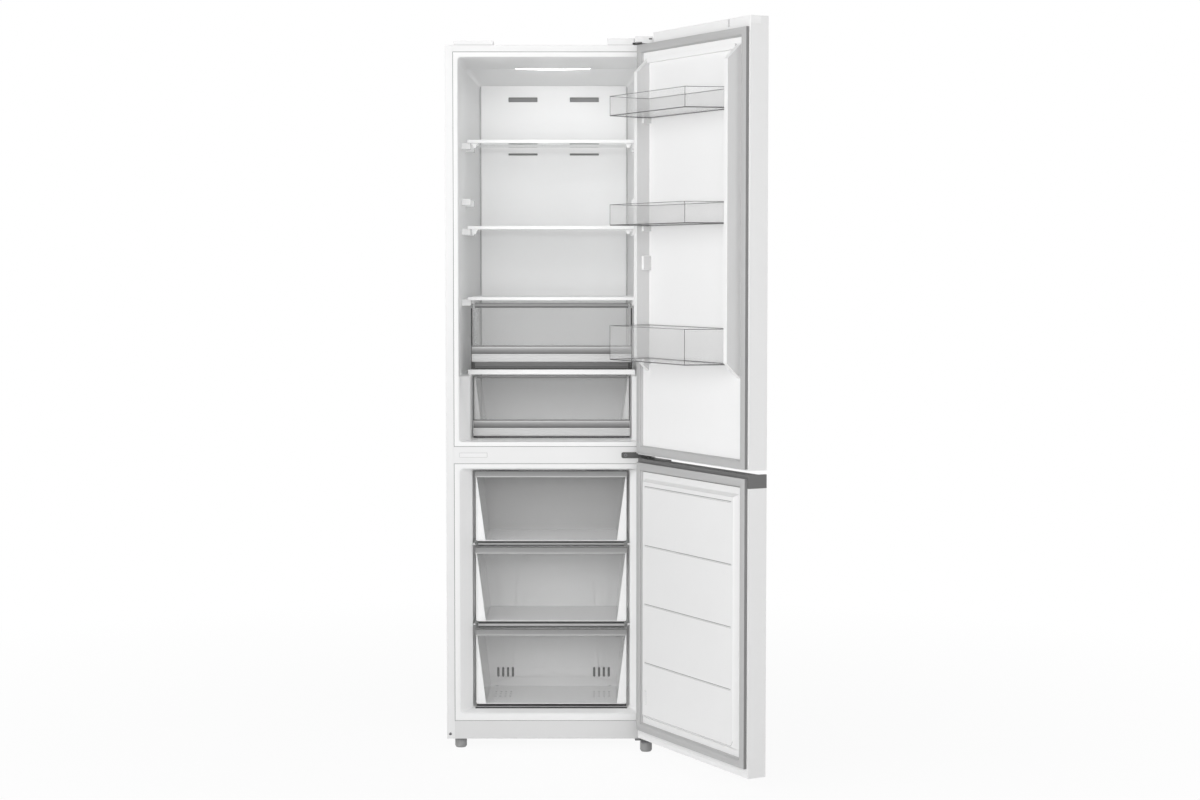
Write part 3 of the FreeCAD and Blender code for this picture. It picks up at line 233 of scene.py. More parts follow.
def lit(strength):
    """Shader sockets of a surface that gives white light."""
    return {"Emission Color": (1, 1, 1, 1), "Emission Strength": strength}


LINER_LEVEL = 0.92
LINER_ROUGH = 0.34
FLANK_SHADE_LEVEL = 0.6
COATED = {"Coat Weight": 0.15, "Coat Roughness": 0.3}
SHEEN = {"Coat Weight": 0.7, "Coat Roughness": 0.35}
SURFACES = {
    "white_steel": dict(colour=grey(0.74), rough=0.3, bump=0.015, grain=420, sockets=COATED),
    # The doors' shells: a lighter copy of the cabinet's white paint, painted light
    "door_steel": dict(colour=grey(0.82), rough=0.3, bump=0.015, grain=420, sockets=COATED),
    "cover_white": dict(colour=grey(0.76), rough=0.3),
    # The plinth: a darker copy of the cabinet's white paint, painted shade
    "plinth_white": dict(colour=grey(0.66), rough=0.3),
    # The liners' flanges: a darker copy of the liner's white, painted shade
    "white_flange": dict(colour=grey(0.8), rough=LINER_ROUGH),
    "white_liner": dict(colour=grey(LINER_LEVEL), rough=LINER_ROUGH),
    # The lower door's liner: a darker copy of the liner's white, painted shade
    "lower_liner": dict(colour=grey(0.85), rough=LINER_ROUGH),
    "floor_sheen": dict(colour=grey(0.95), rough=0.4, bump=0.01, sockets=SHEEN),
    "white_trim": dict(colour=grey(0.88), rough=0.2),
    "foam": dict(colour=(0.78, 0.68, 0.42), rough=0.85, tint=0.12, drift=25, grain=900, bump=0.6),
    "galvanised": dict(colour=(0.46, 0.47, 0.48), rough=0.38, tint=0.18, drift=45, sockets=metal(0.9)),
    "dark_steel": dict(colour=grey(0.06), rough=0.42, tint=0.1, grain=900, bump=0.1),
    "zinc": dict(colour=(0.16, 0.16, 0.165), rough=0.3, tint=0.1, drift=60, sockets=metal(1.0)),
    "dark_plastic": dict(colour=grey(0.09), rough=0.45, tint=0.08, grain=1200, bump=0.15),
    "grip_grey": dict(colour=grey(0.14), rough=0.45, tint=0.06, grain=1200, bump=0.15),
    "grey_plastic": dict(colour=grey(0.3), rough=0.45, tint=0.06, grain=1100, bump=0.12),
    "gasket_grey": dict(colour=grey(0.48), rough=0.55, tint=0.04, grain=500, bump=0.08),
    "gasket_dark": dict(colour=grey(0.2), rough=0.6, tint=0.05, grain=500, bump=0.08),
    # From here to seam_shade the looks are painted shade and painted light for the pieces that carry them
    "edge_shade": dict(colour=grey(0.06), rough=0.3),
    "base_shade": dict(colour=grey(0.012), rough=0.3),
    "groove_shade": dict(colour=grey(0.42), rough=0.5),
    "duct_shade": dict(colour=grey(0.3), rough=0.6),
    "edge_light": dict(colour=grey(0.62), rough=0.25),
    "cheek_white": dict(colour=grey(0.97), rough=0.25),
    "gap_shade": dict(colour=grey(0.05), rough=0.6),
    "seam_shade": dict(colour=grey(0.16), rough=0.7),
    "lamp_white": dict(colour=grey(0.95), rough=0.3, tint=0.01, sockets=lit(8.0)),
    "lens_white": dict(colour=grey(0.9), rough=0.3, tint=0.01, sockets=lit(0.5)),
    "black_enamel": dict(colour=grey(0.018), rough=0.25, tint=0.2, drift=12),
    "black_rubber": dict(colour=grey(0.02), rough=0.75, tint=0.15, grain=900, bump=0.2),
    "bare_aluminium": dict(colour=(0.62, 0.63, 0.64), rough=0.35, tint=0.06, stretch=(1, 1, 40),
                           sockets=metal(1.0)),
    "copper_steel": dict(colour=(0.33, 0.2, 0.13), rough=0.4, tint=0.15, drift=30, sockets=metal(0.9)),
    "roller_plastic": dict(colour=grey(0.02), rough=0.5, tint=0.1, grain=1000, bump=0.12),
    "metallic_bar": dict(colour=grey(0.5), rough=0.32, tint=0.03, sockets=metal(0.7)),
}
CLEAR = {
    "shelf_glass": dict(colour=(0.7, 0.78, 0.76), rough=0.03, face_on=0.03, edge_on=0.3),
    "clear_plastic": dict(colour=grey(0.62), rough=0.08, face_on=0.03, edge_on=0.3),
    "drawer_plastic": dict(colour=grey(0.88), rough=0.1, face_on=0.045, edge_on=0.5),
}
# The freezer's back is painted with shade, darker in its top third
BACK_SHADE_BANDS = ((0.0, 0.98), (0.3, 0.95), (0.64, 0.88), (0.7, 0.56), (1.0, 0.58))
looks = {name: surface(name, **settings) for name, settings in SURFACES.items()}
looks.update({name: see_through(name, **settings) for name, settings in CLEAR.items()})
# The upper door's liner gets painted shade on the faces that look towards its free edge
flank_way = SWING.to_3x3() @ Vector((-1, 0, 0))
looks["upper_liner"] = flank_shaded("upper_liner", LINER_LEVEL, FLANK_SHADE_LEVEL, flank_way, LINER_ROUGH)
back_low, back_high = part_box("evaporator_cover")
looks["freezer_back"] = banded("freezer_back", BACK_SHADE_BANDS, back_low.z, back_high.z, LINER_ROUGH)

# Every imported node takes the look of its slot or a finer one, and softened edges
SLOTS = {entry["node"]: entry["material_slot"] for entry in frame["record"]["subparts"]}
FREEZER_DRAWERS = ("freezer_drawer_top", "freezer_drawer_middle", "freezer_drawer_bottom")
FINER = dict.fromkeys(("fresh_drawer_tub", "cool_drawer_tub", *FREEZER_DRAWERS), "drawer_plastic")
FINER.update({
    "mullion_cover": "white_steel", "plinth": "plinth_white", "hinge_covers": "cover_white",
    "upper_door_shell": "door_steel", "lower_door_shell": "door_steel", "lower_door_liner": "lower_liner",
    "upper_door_liner": "upper_liner", "evaporator_cover": "freezer_back", "lower_door_grip": "grip_grey",
    "lamp_lens": "lens_white",
})
EDGE = 0.6 * MM
EDGES = {"upper_door_shell": 1.6 * MM, "lower_door_shell": 1.6 * MM, "hinge_covers": 1.2 * MM,
         "lower_door_grip": 1.0 * MM, "air_duct_cover": 1.4 * MM}
EDGE_STEPS = 2
EDGE_ANGLE = math.radians(30)
WELD_REACH = 0.01 * MM
UNROUNDED = ("compressor", "condenser_coil", "evaporator", "cabinet_insulation", "fan_blade")


def soften(item, width):
    """Join the split corners, round the edges and even out the shading."""
    weld = item.modifiers.new("weld", "WELD")
    weld.merge_threshold = WELD_REACH
    bevel = item.modifiers.new("edges", "BEVEL")
    bevel.width = width
    bevel.segments = EDGE_STEPS
    bevel.limit_method = "ANGLE"
    bevel.angle_limit = EDGE_ANGLE
    bevel.use_clamp_overlap = True
    bevel.face_strength_mode = "FSTR_AFFECTED"
    even = item.modifiers.new("even", "WEIGHTED_NORMAL")
    even.keep_sharp = True
    even.use_face_influence = True


for name, node in nodes.items():
    node.data.materials.clear()
    node.data.materials.append(looks[FINER.get(name, SLOTS[name])])
    if name not in UNROUNDED:
        soften(node, EDGES.get(name, EDGE))


# Building new pieces
SAME_POINT = 0.001 * MM
NO_LENGTH = 1e-9
ROUND_STEPS = 6
BEAD_SIDES = 8


def piece(name, points, faces, look, body, slot=None, swing=False, smooth=35):
    """A mesh from points and faces that rides on a body. Edges sharper than smooth, in degrees, stay hard."""
    mesh = bpy.data.meshes.new(name)
    mesh.from_pydata([Vector(point) for point in points], [], faces)
    if swing:
        mesh.transform(SWING)
    whole = bmesh.new()
    whole.from_mesh(mesh)
    bmesh.ops.remove_doubles(whole, verts=whole.verts, dist=SAME_POINT)
    bmesh.ops.dissolve_degenerate(whole, edges=whole.edges, dist=SAME_POINT)
    whole.to_mesh(mesh)
    whole.free()
    mesh.polygons.foreach_set("use_smooth", [True] * len(mesh.polygons))
    mesh.set_sharp_from_angle(angle=math.radians(smooth))
    mesh.materials.append(looks[look])
    made = bpy.data.objects.new(name, mesh)
    bpy.context.scene.collection.objects.link(made)
    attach(made, body)
    return made


def between(start, end, share):
    """The value a share of the way from start to end."""
    return start + (end - start) * share


def rectangle(x, z):
    """Corners of an upright rectangle between two places along X and two heights."""
    return ((x[0], z[0]), (x[1], z[0]), (x[1], z[1]), (x[0], z[1]))


def circle(x, y, radius, sides):
    """Corners of a regular outline about a centre."""
    turns = [2 * math.pi * side / sides for side in range(sides)]
    return [(x + radius * math.cos(turn), y + radius * math.sin(turn)) for turn in turns]


def rounded(corners, radii):
    """An outline with its corners rounded, with the same count of points at every corner."""
    outline = []
    count = len(corners)
    for number, radius in enumerate(radii):
        here = Vector(corners[number])
        before = Vector(corners[number - 1]) - here
        after = Vector(corners[(number + 1) % count]) - here
        if radius <= 0 or before.length < NO_LENGTH or after.length < NO_LENGTH:
            outline += [here] * (ROUND_STEPS + 1)
            continue
        start = here + before.normalized() * radius
        end = here + after.normalized() * radius
        for step in range(ROUND_STEPS + 1):
            share = step / ROUND_STEPS
            outline.append(start * (1 - share) ** 2 + here * 2 * share * (1 - share) + end * share ** 2)
    return outline


def soft_rectangle(x, z, radius):
    """An upright rectangle with all corners rounded alike."""
    return rounded(rectangle(x, z), (radius,) * 4)


def loft(sections, closed_end=False):
    """Points and faces through outlines of equal length, each with its own depth: (outline in X and Z, Y)."""
    count = len(sections[0][0])
    points = [(x, depth, z) for outline, depth in sections for x, z in outline]
    faces = []
    for level in range(len(sections) - 1):
        for number in range(count):
            a = level * count + number
            b = level * count + (number + 1) % count
            faces.append((a, b, b + count, a + count))
    if closed_end:
        first = (len(sections) - 1) * count
        faces.append(tuple(range(first, first + count)))
    return points, faces


def swept(outline, way):
    """Points and faces of a flat outline carried along a way."""
    count = len(outline)
    near = [Vector(point) for point in outline]
    points = near + [point + Vector(way) for point in near]
    faces = [(n, (n + 1) % count, count + (n + 1) % count, count + n) for n in range(count)]
    faces += [tuple(reversed(range(count))), tuple(range(count, 2 * count))]
    return points, faces


def extruded(profile, start, end):
    """Points and faces of a bar along X with a closed profile in Y and Z."""
    return swept([(start, y, z) for y, z in profile], (end - start, 0, 0))


def bead(path, radius, normal, closed=True):
    """Points and faces of a round bead along a path in the plane of the normal."""
    path = [Vector(point) for point in path]
    normal = Vector(normal)
    count = len(path)
    points = []
    for number, here in enumerate(path):
        ahead = path[(number + 1) % count] if closed else path[min(number + 1, count - 1)]
        behind = path[number - 1] if closed else path[max(number - 1, 0)]
        across = (ahead - behind).cross(normal).normalized()
        points += [here + across * x + normal * y for x, y in circle(0, 0, radius, BEAD_SIDES)]
    faces = []
    for number in range(count if closed else count - 1):
        shift = ((number + 1) % count - number) * BEAD_SIDES
        for side in range(BEAD_SIDES):
            a = number * BEAD_SIDES + side
            b = number * BEAD_SIDES + (side + 1) % BEAD_SIDES
            faces.append((a, b, b + shift, a + shift))
    return points, faces


def at_depth(outline, y):
    """An outline in X and Z, set upright at a depth."""
    return [(x, y, z) for x, z in outline]


def plate(name, outline, y, thick, look, body, **more):
    """An upright plate with an outline in X and Z, from the depth y backwards."""
    return piece(name, *swept(at_depth(outline, y), (0, thick, 0)), look, body, **more)


def hoop(name, outline, y, radius, look, body, **more):
    """A round bead along a closed upright outline."""
    piece(name, *bead(at_depth(outline, y), radius, DEEP), look, body, **more)


def rod(name, ends, radius, look, body, normal=DEEP, **more):
    """A straight round bead between two points."""
    piece(name, *bead(ends, radius, normal, closed=False), look, body, **more)


# Moulded liners with rounded corners and a rolled lip, in place of the plain ones
LIP = 3 * MM
LIP_STEPS = 4
LIP_TONE = 0.8
SEAM = 1.3 * MM
FLANGE_EDGE = 1.5 * MM
LINER_SMOOTH = 20


def lip_sections(outline_at, deep):
    """Sections that roll from the flat flange into the opening."""
    sections = []
    for step in range(LIP_STEPS + 1):
        angle = math.pi / 2 * step / LIP_STEPS
        run = LIP * (1 - math.cos(angle))
        sections.append((outline_at(LIP * (1 - math.sin(angle)), run), deep + run))
    return sections


def inner_liner(name, node, edge, outline_at, room):
    """A liner from its flange's edge over the rolled lip through the sections of its room."""
    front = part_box(node)[0].y
    sections = [(edge, front + FLANGE_EDGE), (edge, front), *lip_sections(outline_at, front), *room]
    liner = piece(name, *loft(sections, closed_end=True), "white_liner", "cabinet", smooth=LINER_SMOOTH)
    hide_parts(node)
    # The flange and the rolled lip take a darker copy of the liner's white, near the tone of the cabinet's
    # front: painted shade
    liner.data.materials.append(looks["white_flange"])
    for face in liner.data.polygons:
        if face.center.y < LIP * LIP_TONE:
            face.material_index = 1


# The mouth's flare ends at one depth, and the ceiling bends down to the duct cover at another
liner_low, liner_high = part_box("fridge_liner")
duct_low, duct_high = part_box("air_duct_cover")
lens_low, lens_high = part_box("lamp_lens")
MOUTH_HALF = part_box("liner_supports")[1].x
CEILING = lens_high.z
SILL = duct_low.z
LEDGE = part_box("crisper_cover_trim")[0].z
COOL_HALF = 0.232
FLARE_END = 0.06
BEND = lens_high.y
DUCT_GAP = 4 * MM
BACK_HALF = duct_high.x + DUCT_GAP
BACK_TOP = duct_high.z
FLAT_RADII = (0,) * 8
MOUTH_RADII = (10 * MM, 10 * MM, 0, 0, 10 * MM, 10 * MM, 0, 0)
COOL_RADII = (4 * MM, 4 * MM, 3 * MM, 5 * MM, 14 * MM, 14 * MM, 5 * MM, 3 * MM)


def fridge_outline(wide, cool, low, high, radii):
    """Outline of the fridge's room, with its own half width below the ledge."""
    corners = ((-cool, low), (cool, low), (cool, LEDGE), (wide, LEDGE), (wide, high), (-wide, high),
               (-wide, LEDGE), (-cool, LEDGE))
    return rounded(corners, radii)


def fridge_lip(grow, run):
    """Outline of the fridge's mouth at a run behind the flange, grown by its lip."""
    cool = between(MOUTH_HALF, COOL_HALF, run / FLARE_END)
    return fridge_outline(MOUTH_HALF + grow, cool + grow, SILL - grow, CEILING + grow, MOUTH_RADII)


flange_half = liner_high.x - SEAM
flange_edge = fridge_outline(flange_half, flange_half, liner_low.z + SEAM, liner_high.z - SEAM, FLAT_RADII)
fridge_room = fridge_outline(MOUTH_HALF, COOL_HALF, SILL, CEILING, COOL_RADII)
fridge_back = fridge_outline(BACK_HALF, BACK_HALF, SILL, BACK_TOP, MOUTH_RADII)
inner_liner("fridge_inner_liner", "fridge_liner", flange_edge, fridge_lip,
            [(fridge_room, FLARE_END), (fridge_room, BEND), (fridge_back, duct_low.y),
             (fridge_back, duct_high.y)])

freezer_low, freezer_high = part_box("freezer_liner")
FREEZER_HALF = 0.258
FREEZER_SILL = 0.104
FREEZER_HEAD = 0.807
FREEZER_FLARE = 0.055
FREEZER_RADIUS = 14 * MM
CHAMBER_RADIUS = 8 * MM
CHANNEL = 12 * MM
LINER_WALL = 1 * MM


def square(half_width, low, high, radius):
    """A rectangle about the middle, with rounded corners."""
    return soft_rectangle((-half_width, half_width), (low, high), radius)


def freezer_lip(grow, run):
    """Outline of the freezer's mouth at a run behind the flange, grown by its lip."""
    share = run / FREEZER_FLARE
    half = between(FREEZER_HALF, back_high.x, share)
    low = between(FREEZER_SILL, back_low.z, share)
    high = between(FREEZER_HEAD, back_high.z, share)
    return square(half + grow, low - grow, high + grow, FREEZER_RADIUS)


freezer_edge = square(freezer_high.x - SEAM, freezer_low.z + SEAM, freezer_high.z - SEAM, 0)
chamber = square(back_high.x, back_low.z, back_high.z, CHAMBER_RADIUS)
upper_chamber = square(back_high.x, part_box("evaporator")[0].z, back_high.z, CHAMBER_RADIUS)
chamber_back = back_high.y + CHANNEL
inner_liner("freezer_inner_liner", "freezer_liner", freezer_edge, freezer_lip,
            [(chamber, FREEZER_FLARE), (chamber, chamber_back), (upper_chamber, chamber_back),
             (upper_chamber, freezer_high.y - LINER_WALL)])

# Dark grounds of painted shade behind the fine gaps round the two flanges
SEAM_INSIDE = 3 * MM
SEAM_OUTSIDE = 1 * MM
SEAM_DEEP = 1.2 * MM


def seam(name, low, high):
    """A flat ring just behind a flange's outer edge."""
    inner = square(high.x - SEAM_INSIDE, low.z + SEAM_INSIDE, high.z - SEAM_INSIDE, 0)
    outer = square(high.x + SEAM_OUTSIDE, low.z - SEAM_OUTSIDE, high.z + SEAM_OUTSIDE, 0)
    deep = low.y + SEAM_DEEP
    piece(name, *loft([(inner, deep), (outer, deep)]), "seam_shade", "cabinet", slot="white_liner")


seam("fridge_seam", liner_low, liner_high)
seam("freezer_seam", freezer_low, freezer_high)

# Dark grounds of painted shade behind the air slots. The rows in the duct cover are measured down from its
# top
GROUND_THICK = 0.8 * MM
GROUND_RADIUS = 2 * MM
SLOT_X = 0.093
SLOT_HALF = 50 * MM
SLOT_ROWS = ((0.027, 0.057), (0.165, 0.216))
SLOT_BEHIND = 6 * MM
RETURN_X = 0.145
RETURN_HALF = 32 * MM
RETURN_Z = (0.136, 0.178)
RETURN_BEHIND = 2 * MM


def ground(name, middle, half, z, y, look, slot):
    """An upright plate with soft corners."""
    outline = soft_rectangle((middle - half, middle + half), z, GROUND_RADIUS)
    plate(name, outline, y, GROUND_THICK, look, "cabinet", slot=slot)


for label, side in SIDES:
    for row, (near, far) in enumerate(SLOT_ROWS):
        slot_z = (duct_high.z - far, duct_high.z - near)
        ground(f"duct_ground_{label}_{row}", SLOT_X * side, SLOT_HALF, slot_z, duct_low.y + SLOT_BEHIND,
               "duct_shade", "white_liner")
    ground(f"return_slot_shade_{label}", RETURN_X * side, RETURN_HALF, RETURN_Z, back_high.y + RETURN_BEHIND,
           "gap_shade", "dark_plastic")

# Lit strip along the bowed underside of the lamp's lens
LAMP_INSET = 1.5 * MM
LAMP_THICK = 0.3 * MM
LAMP_SUNK = 0.05 * MM
LAMP_STEPS = 24
lens_sag = lens_high.z - lens_low.z
lens_bow = (lens_high.x ** 2 + lens_sag ** 2) / (2 * lens_sag)
lamp_half = lens_high.x - LAMP_INSET
lamp_top = []
for step in range(LAMP_STEPS + 1):
    x = lamp_half * (2 * step / LAMP_STEPS - 1)
    lamp_top.append((x, lens_low.z + LAMP_SUNK + lens_bow - math.sqrt(lens_bow ** 2 - x ** 2)))
lamp_base = [(x, z - LAMP_THICK) for x, z in reversed(lamp_top)]
plate("lamp_strip", lamp_top + lamp_base, lens_low.y + LAMP_INSET, lens_high.y - lens_low.y - 2 * LAMP_INSET,
      "lamp_white", "cabinet")

# Grey beads in the gaps beside the duct cover: painted shade, lighter than the gaps' own
GAP_LINE_RADIUS = 1.9 * MM
GAP_LINE_SUNK = 2 * MM
GAP_LINE_SHORT = 1 * MM
for label, side in SIDES:
    x = side * (duct_high.x + DUCT_GAP / 2)
    ends = [(x, duct_low.y + GAP_LINE_SUNK, level) for level in (SILL + GAP_LINE_SHORT, BACK_TOP - GAP_LINE_SHORT)]
    rod(f"duct_gap_line_{label}", ends, GAP_LINE_RADIUS, "edge_light", "cabinet", slot="white_liner")

# Door gaskets: a soft profile swept round the door, in place of the plain rings.
# The profile is given as (inset in millimetres, share of the gasket's depth)
GASKET_PROFILE = ((0.5, 0), (0.5, 0.3), (0, 0.45), (0.6, 0.75), (2.5, 0.84), (6, 0.95), (8.5, 1), (18, 1),
                  (20.5, 0.92), (22, 0.7), (21, 0.5), (22.5, 0.35), (24, 0.2), (24, 0))
GASKET_SMOOTH = 50
GASKET_DARK_ROWS = 3
GASKET_SIDES = 4


def gasket(node, body):
    """The soft gasket of one door, with a dark foot."""
    low, high = shut_box(node)
    sections = []
    for millimetres, share in GASKET_PROFILE:
        inset = millimetres * MM
        outline = rectangle((low.x + inset, high.x - inset), (low.z + inset, high.z - inset))
        sections.append((outline, between(low.y, high.y, share)))
    soft = piece(node + "_profile", *loft(sections), "gasket_grey", body, swing=True, smooth=GASKET_SMOOTH)
    soft.data.materials.append(looks["gasket_dark"])
    for number, face in enumerate(soft.data.polygons):
        if number // GASKET_SIDES < GASKET_DARK_ROWS:
            face.material_index = 1
    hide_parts(node)


gasket("upper_door_gasket", "upper_door")
gasket("lower_door_gasket", "lower_door")

# Crisper bars: two curved steps. The lower step's points are in millimetres from the front, and above the
# foot or the middle. The upper step's are shares of the depth, and millimetres above the middle or the top
BAR_MIDDLE = 0.51
BAR_FOOT = ((2.2, 0), (0.8, 2), (0, 8), (0.2, 16))
BAR_STEP = ((1, -1.2), (2, 0))
BAR_RISE = ((0.62, 0), (0.58, 4), (0.5, 12))
BAR_TOP = ((0.43, -3), (0.5, -0.8), (0.6, 0))
# Bands of painted shade and painted reflection up the bars' height
BAR_SHADE_BANDS = ((0.0, 0.58), (0.1, 0.55), (0.42, 0.35), (0.49, 0.46), (0.51, 0.14), (0.6, 0.16), (0.93, 0.38),
             (0.97, 0.04))
BAR_ROUGH = 0.4
BAR_METAL = 0.35
BAR_SMOOTH = 25


def crisper_bar(node, body):
    """The curved bar across a crisper's front."""
    low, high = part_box(node)
    middle = between(low.z, high.z, BAR_MIDDLE)
    profile = [(high.y, low.z)]
    for base, points in ((low.z, BAR_FOOT), (middle, BAR_STEP)):
        profile += [(low.y + y * MM, base + z * MM) for y, z in points]
    for base, points in ((middle, BAR_RISE), (high.z, BAR_TOP)):
        profile += [(between(low.y, high.y, share), base + z * MM) for share, z in points]
    profile.append((high.y, high.z))
    looks[node] = banded(node, BAR_SHADE_BANDS, low.z, high.z, BAR_ROUGH, metal(BAR_METAL))
    bar = piece(node + "_curved", *extruded(profile, low.x, high.x), node, body, slot="metallic_bar",
                smooth=BAR_SMOOTH)
    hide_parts(node)


crisper_bar("fresh_drawer_bar", "fresh_drawer")
crisper_bar("cool_drawer_bar", "cool_drawer")

# Dark edges of the clear bins, painted shade
PLAN_DIGITS = 6
STRAIGHT = 1e-9
RIM_INSET = 0.8 * MM
RIM_DOWN = 0.9 * MM
RIM_RADIUS = 0.75 * MM
FOOT_INSET = 1.3 * MM
FOOT_RISE = 1.4 * MM
FOOT_RADIUS = 1.3 * MM
POST_RISE = 1 * MM
POST_DOWN = 0.6 * MM
POST_RADIUS = 0.8 * MM


def turn(a, b, c):
    """Positive where the way from a over b to c turns left."""
    return (b[0] - a[0]) * (c[1] - a[1]) - (b[1] - a[1]) * (c[0] - a[0])


def plan_outline(node):
    """Corners, in plan, of the convex outline of a door's node with the door shut."""
    points = shut_points(node)
    corners = sorted({(round(point.x, PLAN_DIGITS), round(point.y, PLAN_DIGITS)) for point in points})
    outline = []
    for run in (corners, corners[::-1]):
        chain = []
        for point in run:
            while len(chain) > 1 and turn(chain[-2], chain[-1], point) <= STRAIGHT:
                chain.pop()
            chain.append(point)
        outline += chain[:-1]
    return outline


def bin_edges(name):
    """Fine dark edges of painted shade on a clear bin: rim, foot and corners."""
    low, high = shut_box(name)
    plan = plan_outline(name)
    middle_x = sum(x for x, y in plan) / len(plan)
    middle_y = sum(y for x, y in plan) / len(plan)

    def drawn_in(inset):
        return [(x - math.copysign(inset, x - middle_x), y - math.copysign(inset, y - middle_y))
                for x, y in plan]

    dark = {"slot": "clear_plastic", "swing": True}
    ring = drawn_in(RIM_INSET)
    rim = [(x, y, high.z - RIM_DOWN) for x, y in ring]
    foot = [(x, y, low.z + FOOT_RISE) for x, y in drawn_in(FOOT_INSET)]
    piece(name + "_rim", *bead(rim, RIM_RADIUS, UP), "edge_shade", name, **dark)
    piece(name + "_foot", *bead(foot, FOOT_RADIUS, UP), "base_shade", name, **dark)
    for number, (x, y) in enumerate((x, y) for x, y in ring if y > middle_y):
        ends = [(x, y, low.z + POST_RISE), (x, y, high.z - POST_DOWN)]
        rod(f"{name}_corner_{number}", ends, POST_RADIUS, "edge_shade", name, **dark)


for name in ("top_bin", "middle_bin", "bottom_bin"):
    bin_edges(name)

# Level strips with a bowed front, with painted shade and highlights banded through their height
STRIP_STEPS = 6
STRIP_BOW = 0.6
STRIP_ROUGH = 0.35


def strip(name, half_width, y, z, bands, body, slot):
    """A bar along X between two depths and two heights, banded with painted shade and highlights."""
    looks[name] = banded(name, bands, z[0], z[1], STRIP_ROUGH)
    profile = [(y[1], z[1]), (y[1], z[0])]
    for step in range(STRIP_STEPS + 1):
        share = step / STRIP_STEPS
        bow = STRIP_BOW * (1 - 4 * share * (1 - share))
        profile.append((between(y[0], y[1], bow), between(z[0], z[1], share)))
    piece(name, *extruded(profile, -half_width, half_width), name, body, slot=slot)


# Freezer drawers: light cheeks of painted light, a ribbed floor, a dark line of painted shade and a light
# line of painted highlight round the front plate, and a lip banded with painted shade
FREEZER_PLATE = 10 * MM
PLATE_THICK = 3 * MM
PLATE_RADIUS = 9 * MM
PLATE_TOP_RADIUS = 1 * MM
CHEEK_BEHIND = 0.2 * MM
CHEEK_THICK = 1 * MM
CHEEK_SIDE = 1.6 * MM
CHEEK_RISE = 3 * MM
CHEEK_FOOT = 28 * MM
CHEEK_HEAD = 3 * MM
FLOOR_TOP = 2.6 * MM
FLOOR_SHORT = 30 * MM
RIB_PITCH = 6 * MM
RIB_LOW = 0.1 * MM
RIB_HIGH = 1.2 * MM
RIB_SMOOTH = 5
FRONT_LINES = (("outer", 0.7 * MM, 0.7 * MM, "edge_shade"), ("inner", 3.2 * MM, 0.8 * MM, "cheek_white"))
FRONT_SUNK = 0.4 * MM
BAND_HEIGHT = 18 * MM
BAND_SIDE = 1 * MM
BAND_Y = (-0.6 * MM, 0.4 * MM)
LIP_SHADE_BANDS = ((0.0, 0.6), (0.1, 0.55), (0.14, 0.3), (0.5, 0.26), (0.88, 0.22), (0.94, 0.08))


def reach(start, span):
    """Two places, measured from a start."""
    return start + span[0], start + span[1]


def cheek(side, edge, foot, z):
    """Outline of a cheek that narrows upwards along a drawer's side."""
    return ((side * edge, z[0]), (side * (edge - foot), z[0]), (side * (edge - CHEEK_HEAD), z[1]),
            (side * edge, z[1]))


def freezer_drawer(name):
    """The fine pieces of one drawer."""
    low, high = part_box(name)
    cheek_y = low.y + FREEZER_PLATE + PLATE_THICK + CHEEK_BEHIND
    for label, side in SIDES:
        outline = cheek(side, high.x - CHEEK_SIDE, CHEEK_FOOT, (low.z + CHEEK_RISE, high.z - BAND_HEIGHT))
        plate(f"{name}_{label}_cheek", outline, cheek_y, CHEEK_THICK, "cheek_white", name, slot="white_trim")
    floor_half = high.x - CHEEK_FOOT
    floor_z = low.z + FLOOR_TOP
    ribs = int((high.y - FLOOR_SHORT - cheek_y) / RIB_PITCH)
    profile = [(cheek_y + ribs * RIB_PITCH, floor_z), (cheek_y, floor_z)]
    for rib in range(ribs):
        rib_y = cheek_y + rib * RIB_PITCH
        profile += [(rib_y, floor_z + RIB_LOW), (rib_y + RIB_PITCH, floor_z + RIB_HIGH)]
    piece(name + "_floor", *extruded(profile, -floor_half, floor_half), "floor_sheen", name,
          slot="clear_plastic", smooth=RIB_SMOOTH)
    for label, inset, thick, look in FRONT_LINES:
        corners = rectangle((inset - high.x, high.x - inset), (low.z + inset, high.z - inset))
        foot_radius = PLATE_RADIUS - inset
        outline = rounded(corners, (foot_radius, foot_radius, PLATE_TOP_RADIUS, PLATE_TOP_RADIUS))
        hoop(f"{name}_{label}_line", outline, low.y + FREEZER_PLATE + FRONT_SUNK, thick, look, name,
             slot="clear_plastic")
    strip(name + "_lip", high.x - BAND_SIDE, reach(low.y, BAND_Y), (high.z - BAND_HEIGHT, high.z), LIP_SHADE_BANDS,
          name, "clear_plastic")


for name in FREEZER_DRAWERS:
    freezer_drawer(name)

# Edges of the plates between the freezer drawers, banded with painted shade, and a dark bar and a dark strip
# of painted shade below the lowest one
PLATE_SHADE_BANDS = ((0.0, 0.05), (0.2, 0.06), (0.3, 0.45), (0.6, 0.42), (0.7, 0.2), (0.9, 0.06))
PLATE_GAP = 2 * MM
PLATE_UNDER = 0.6 * MM
PLATE_SIDE = 8 * MM
PLATE_Y = (14 * MM, 24 * MM)
PLATES = (("freezer_drawer_middle", "freezer_drawer_bottom"), ("freezer_drawer_top", "freezer_drawer_middle"))
for number, (above, below) in enumerate(PLATES):
    low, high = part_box(above)
    edge_z = (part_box(below)[1].z + PLATE_GAP, low.z - PLATE_UNDER)
    strip(f"plate_edge_{number}", high.x - PLATE_SIDE, reach(low.y, PLATE_Y), edge_z, PLATE_SHADE_BANDS, "cabinet",
          "white_liner")

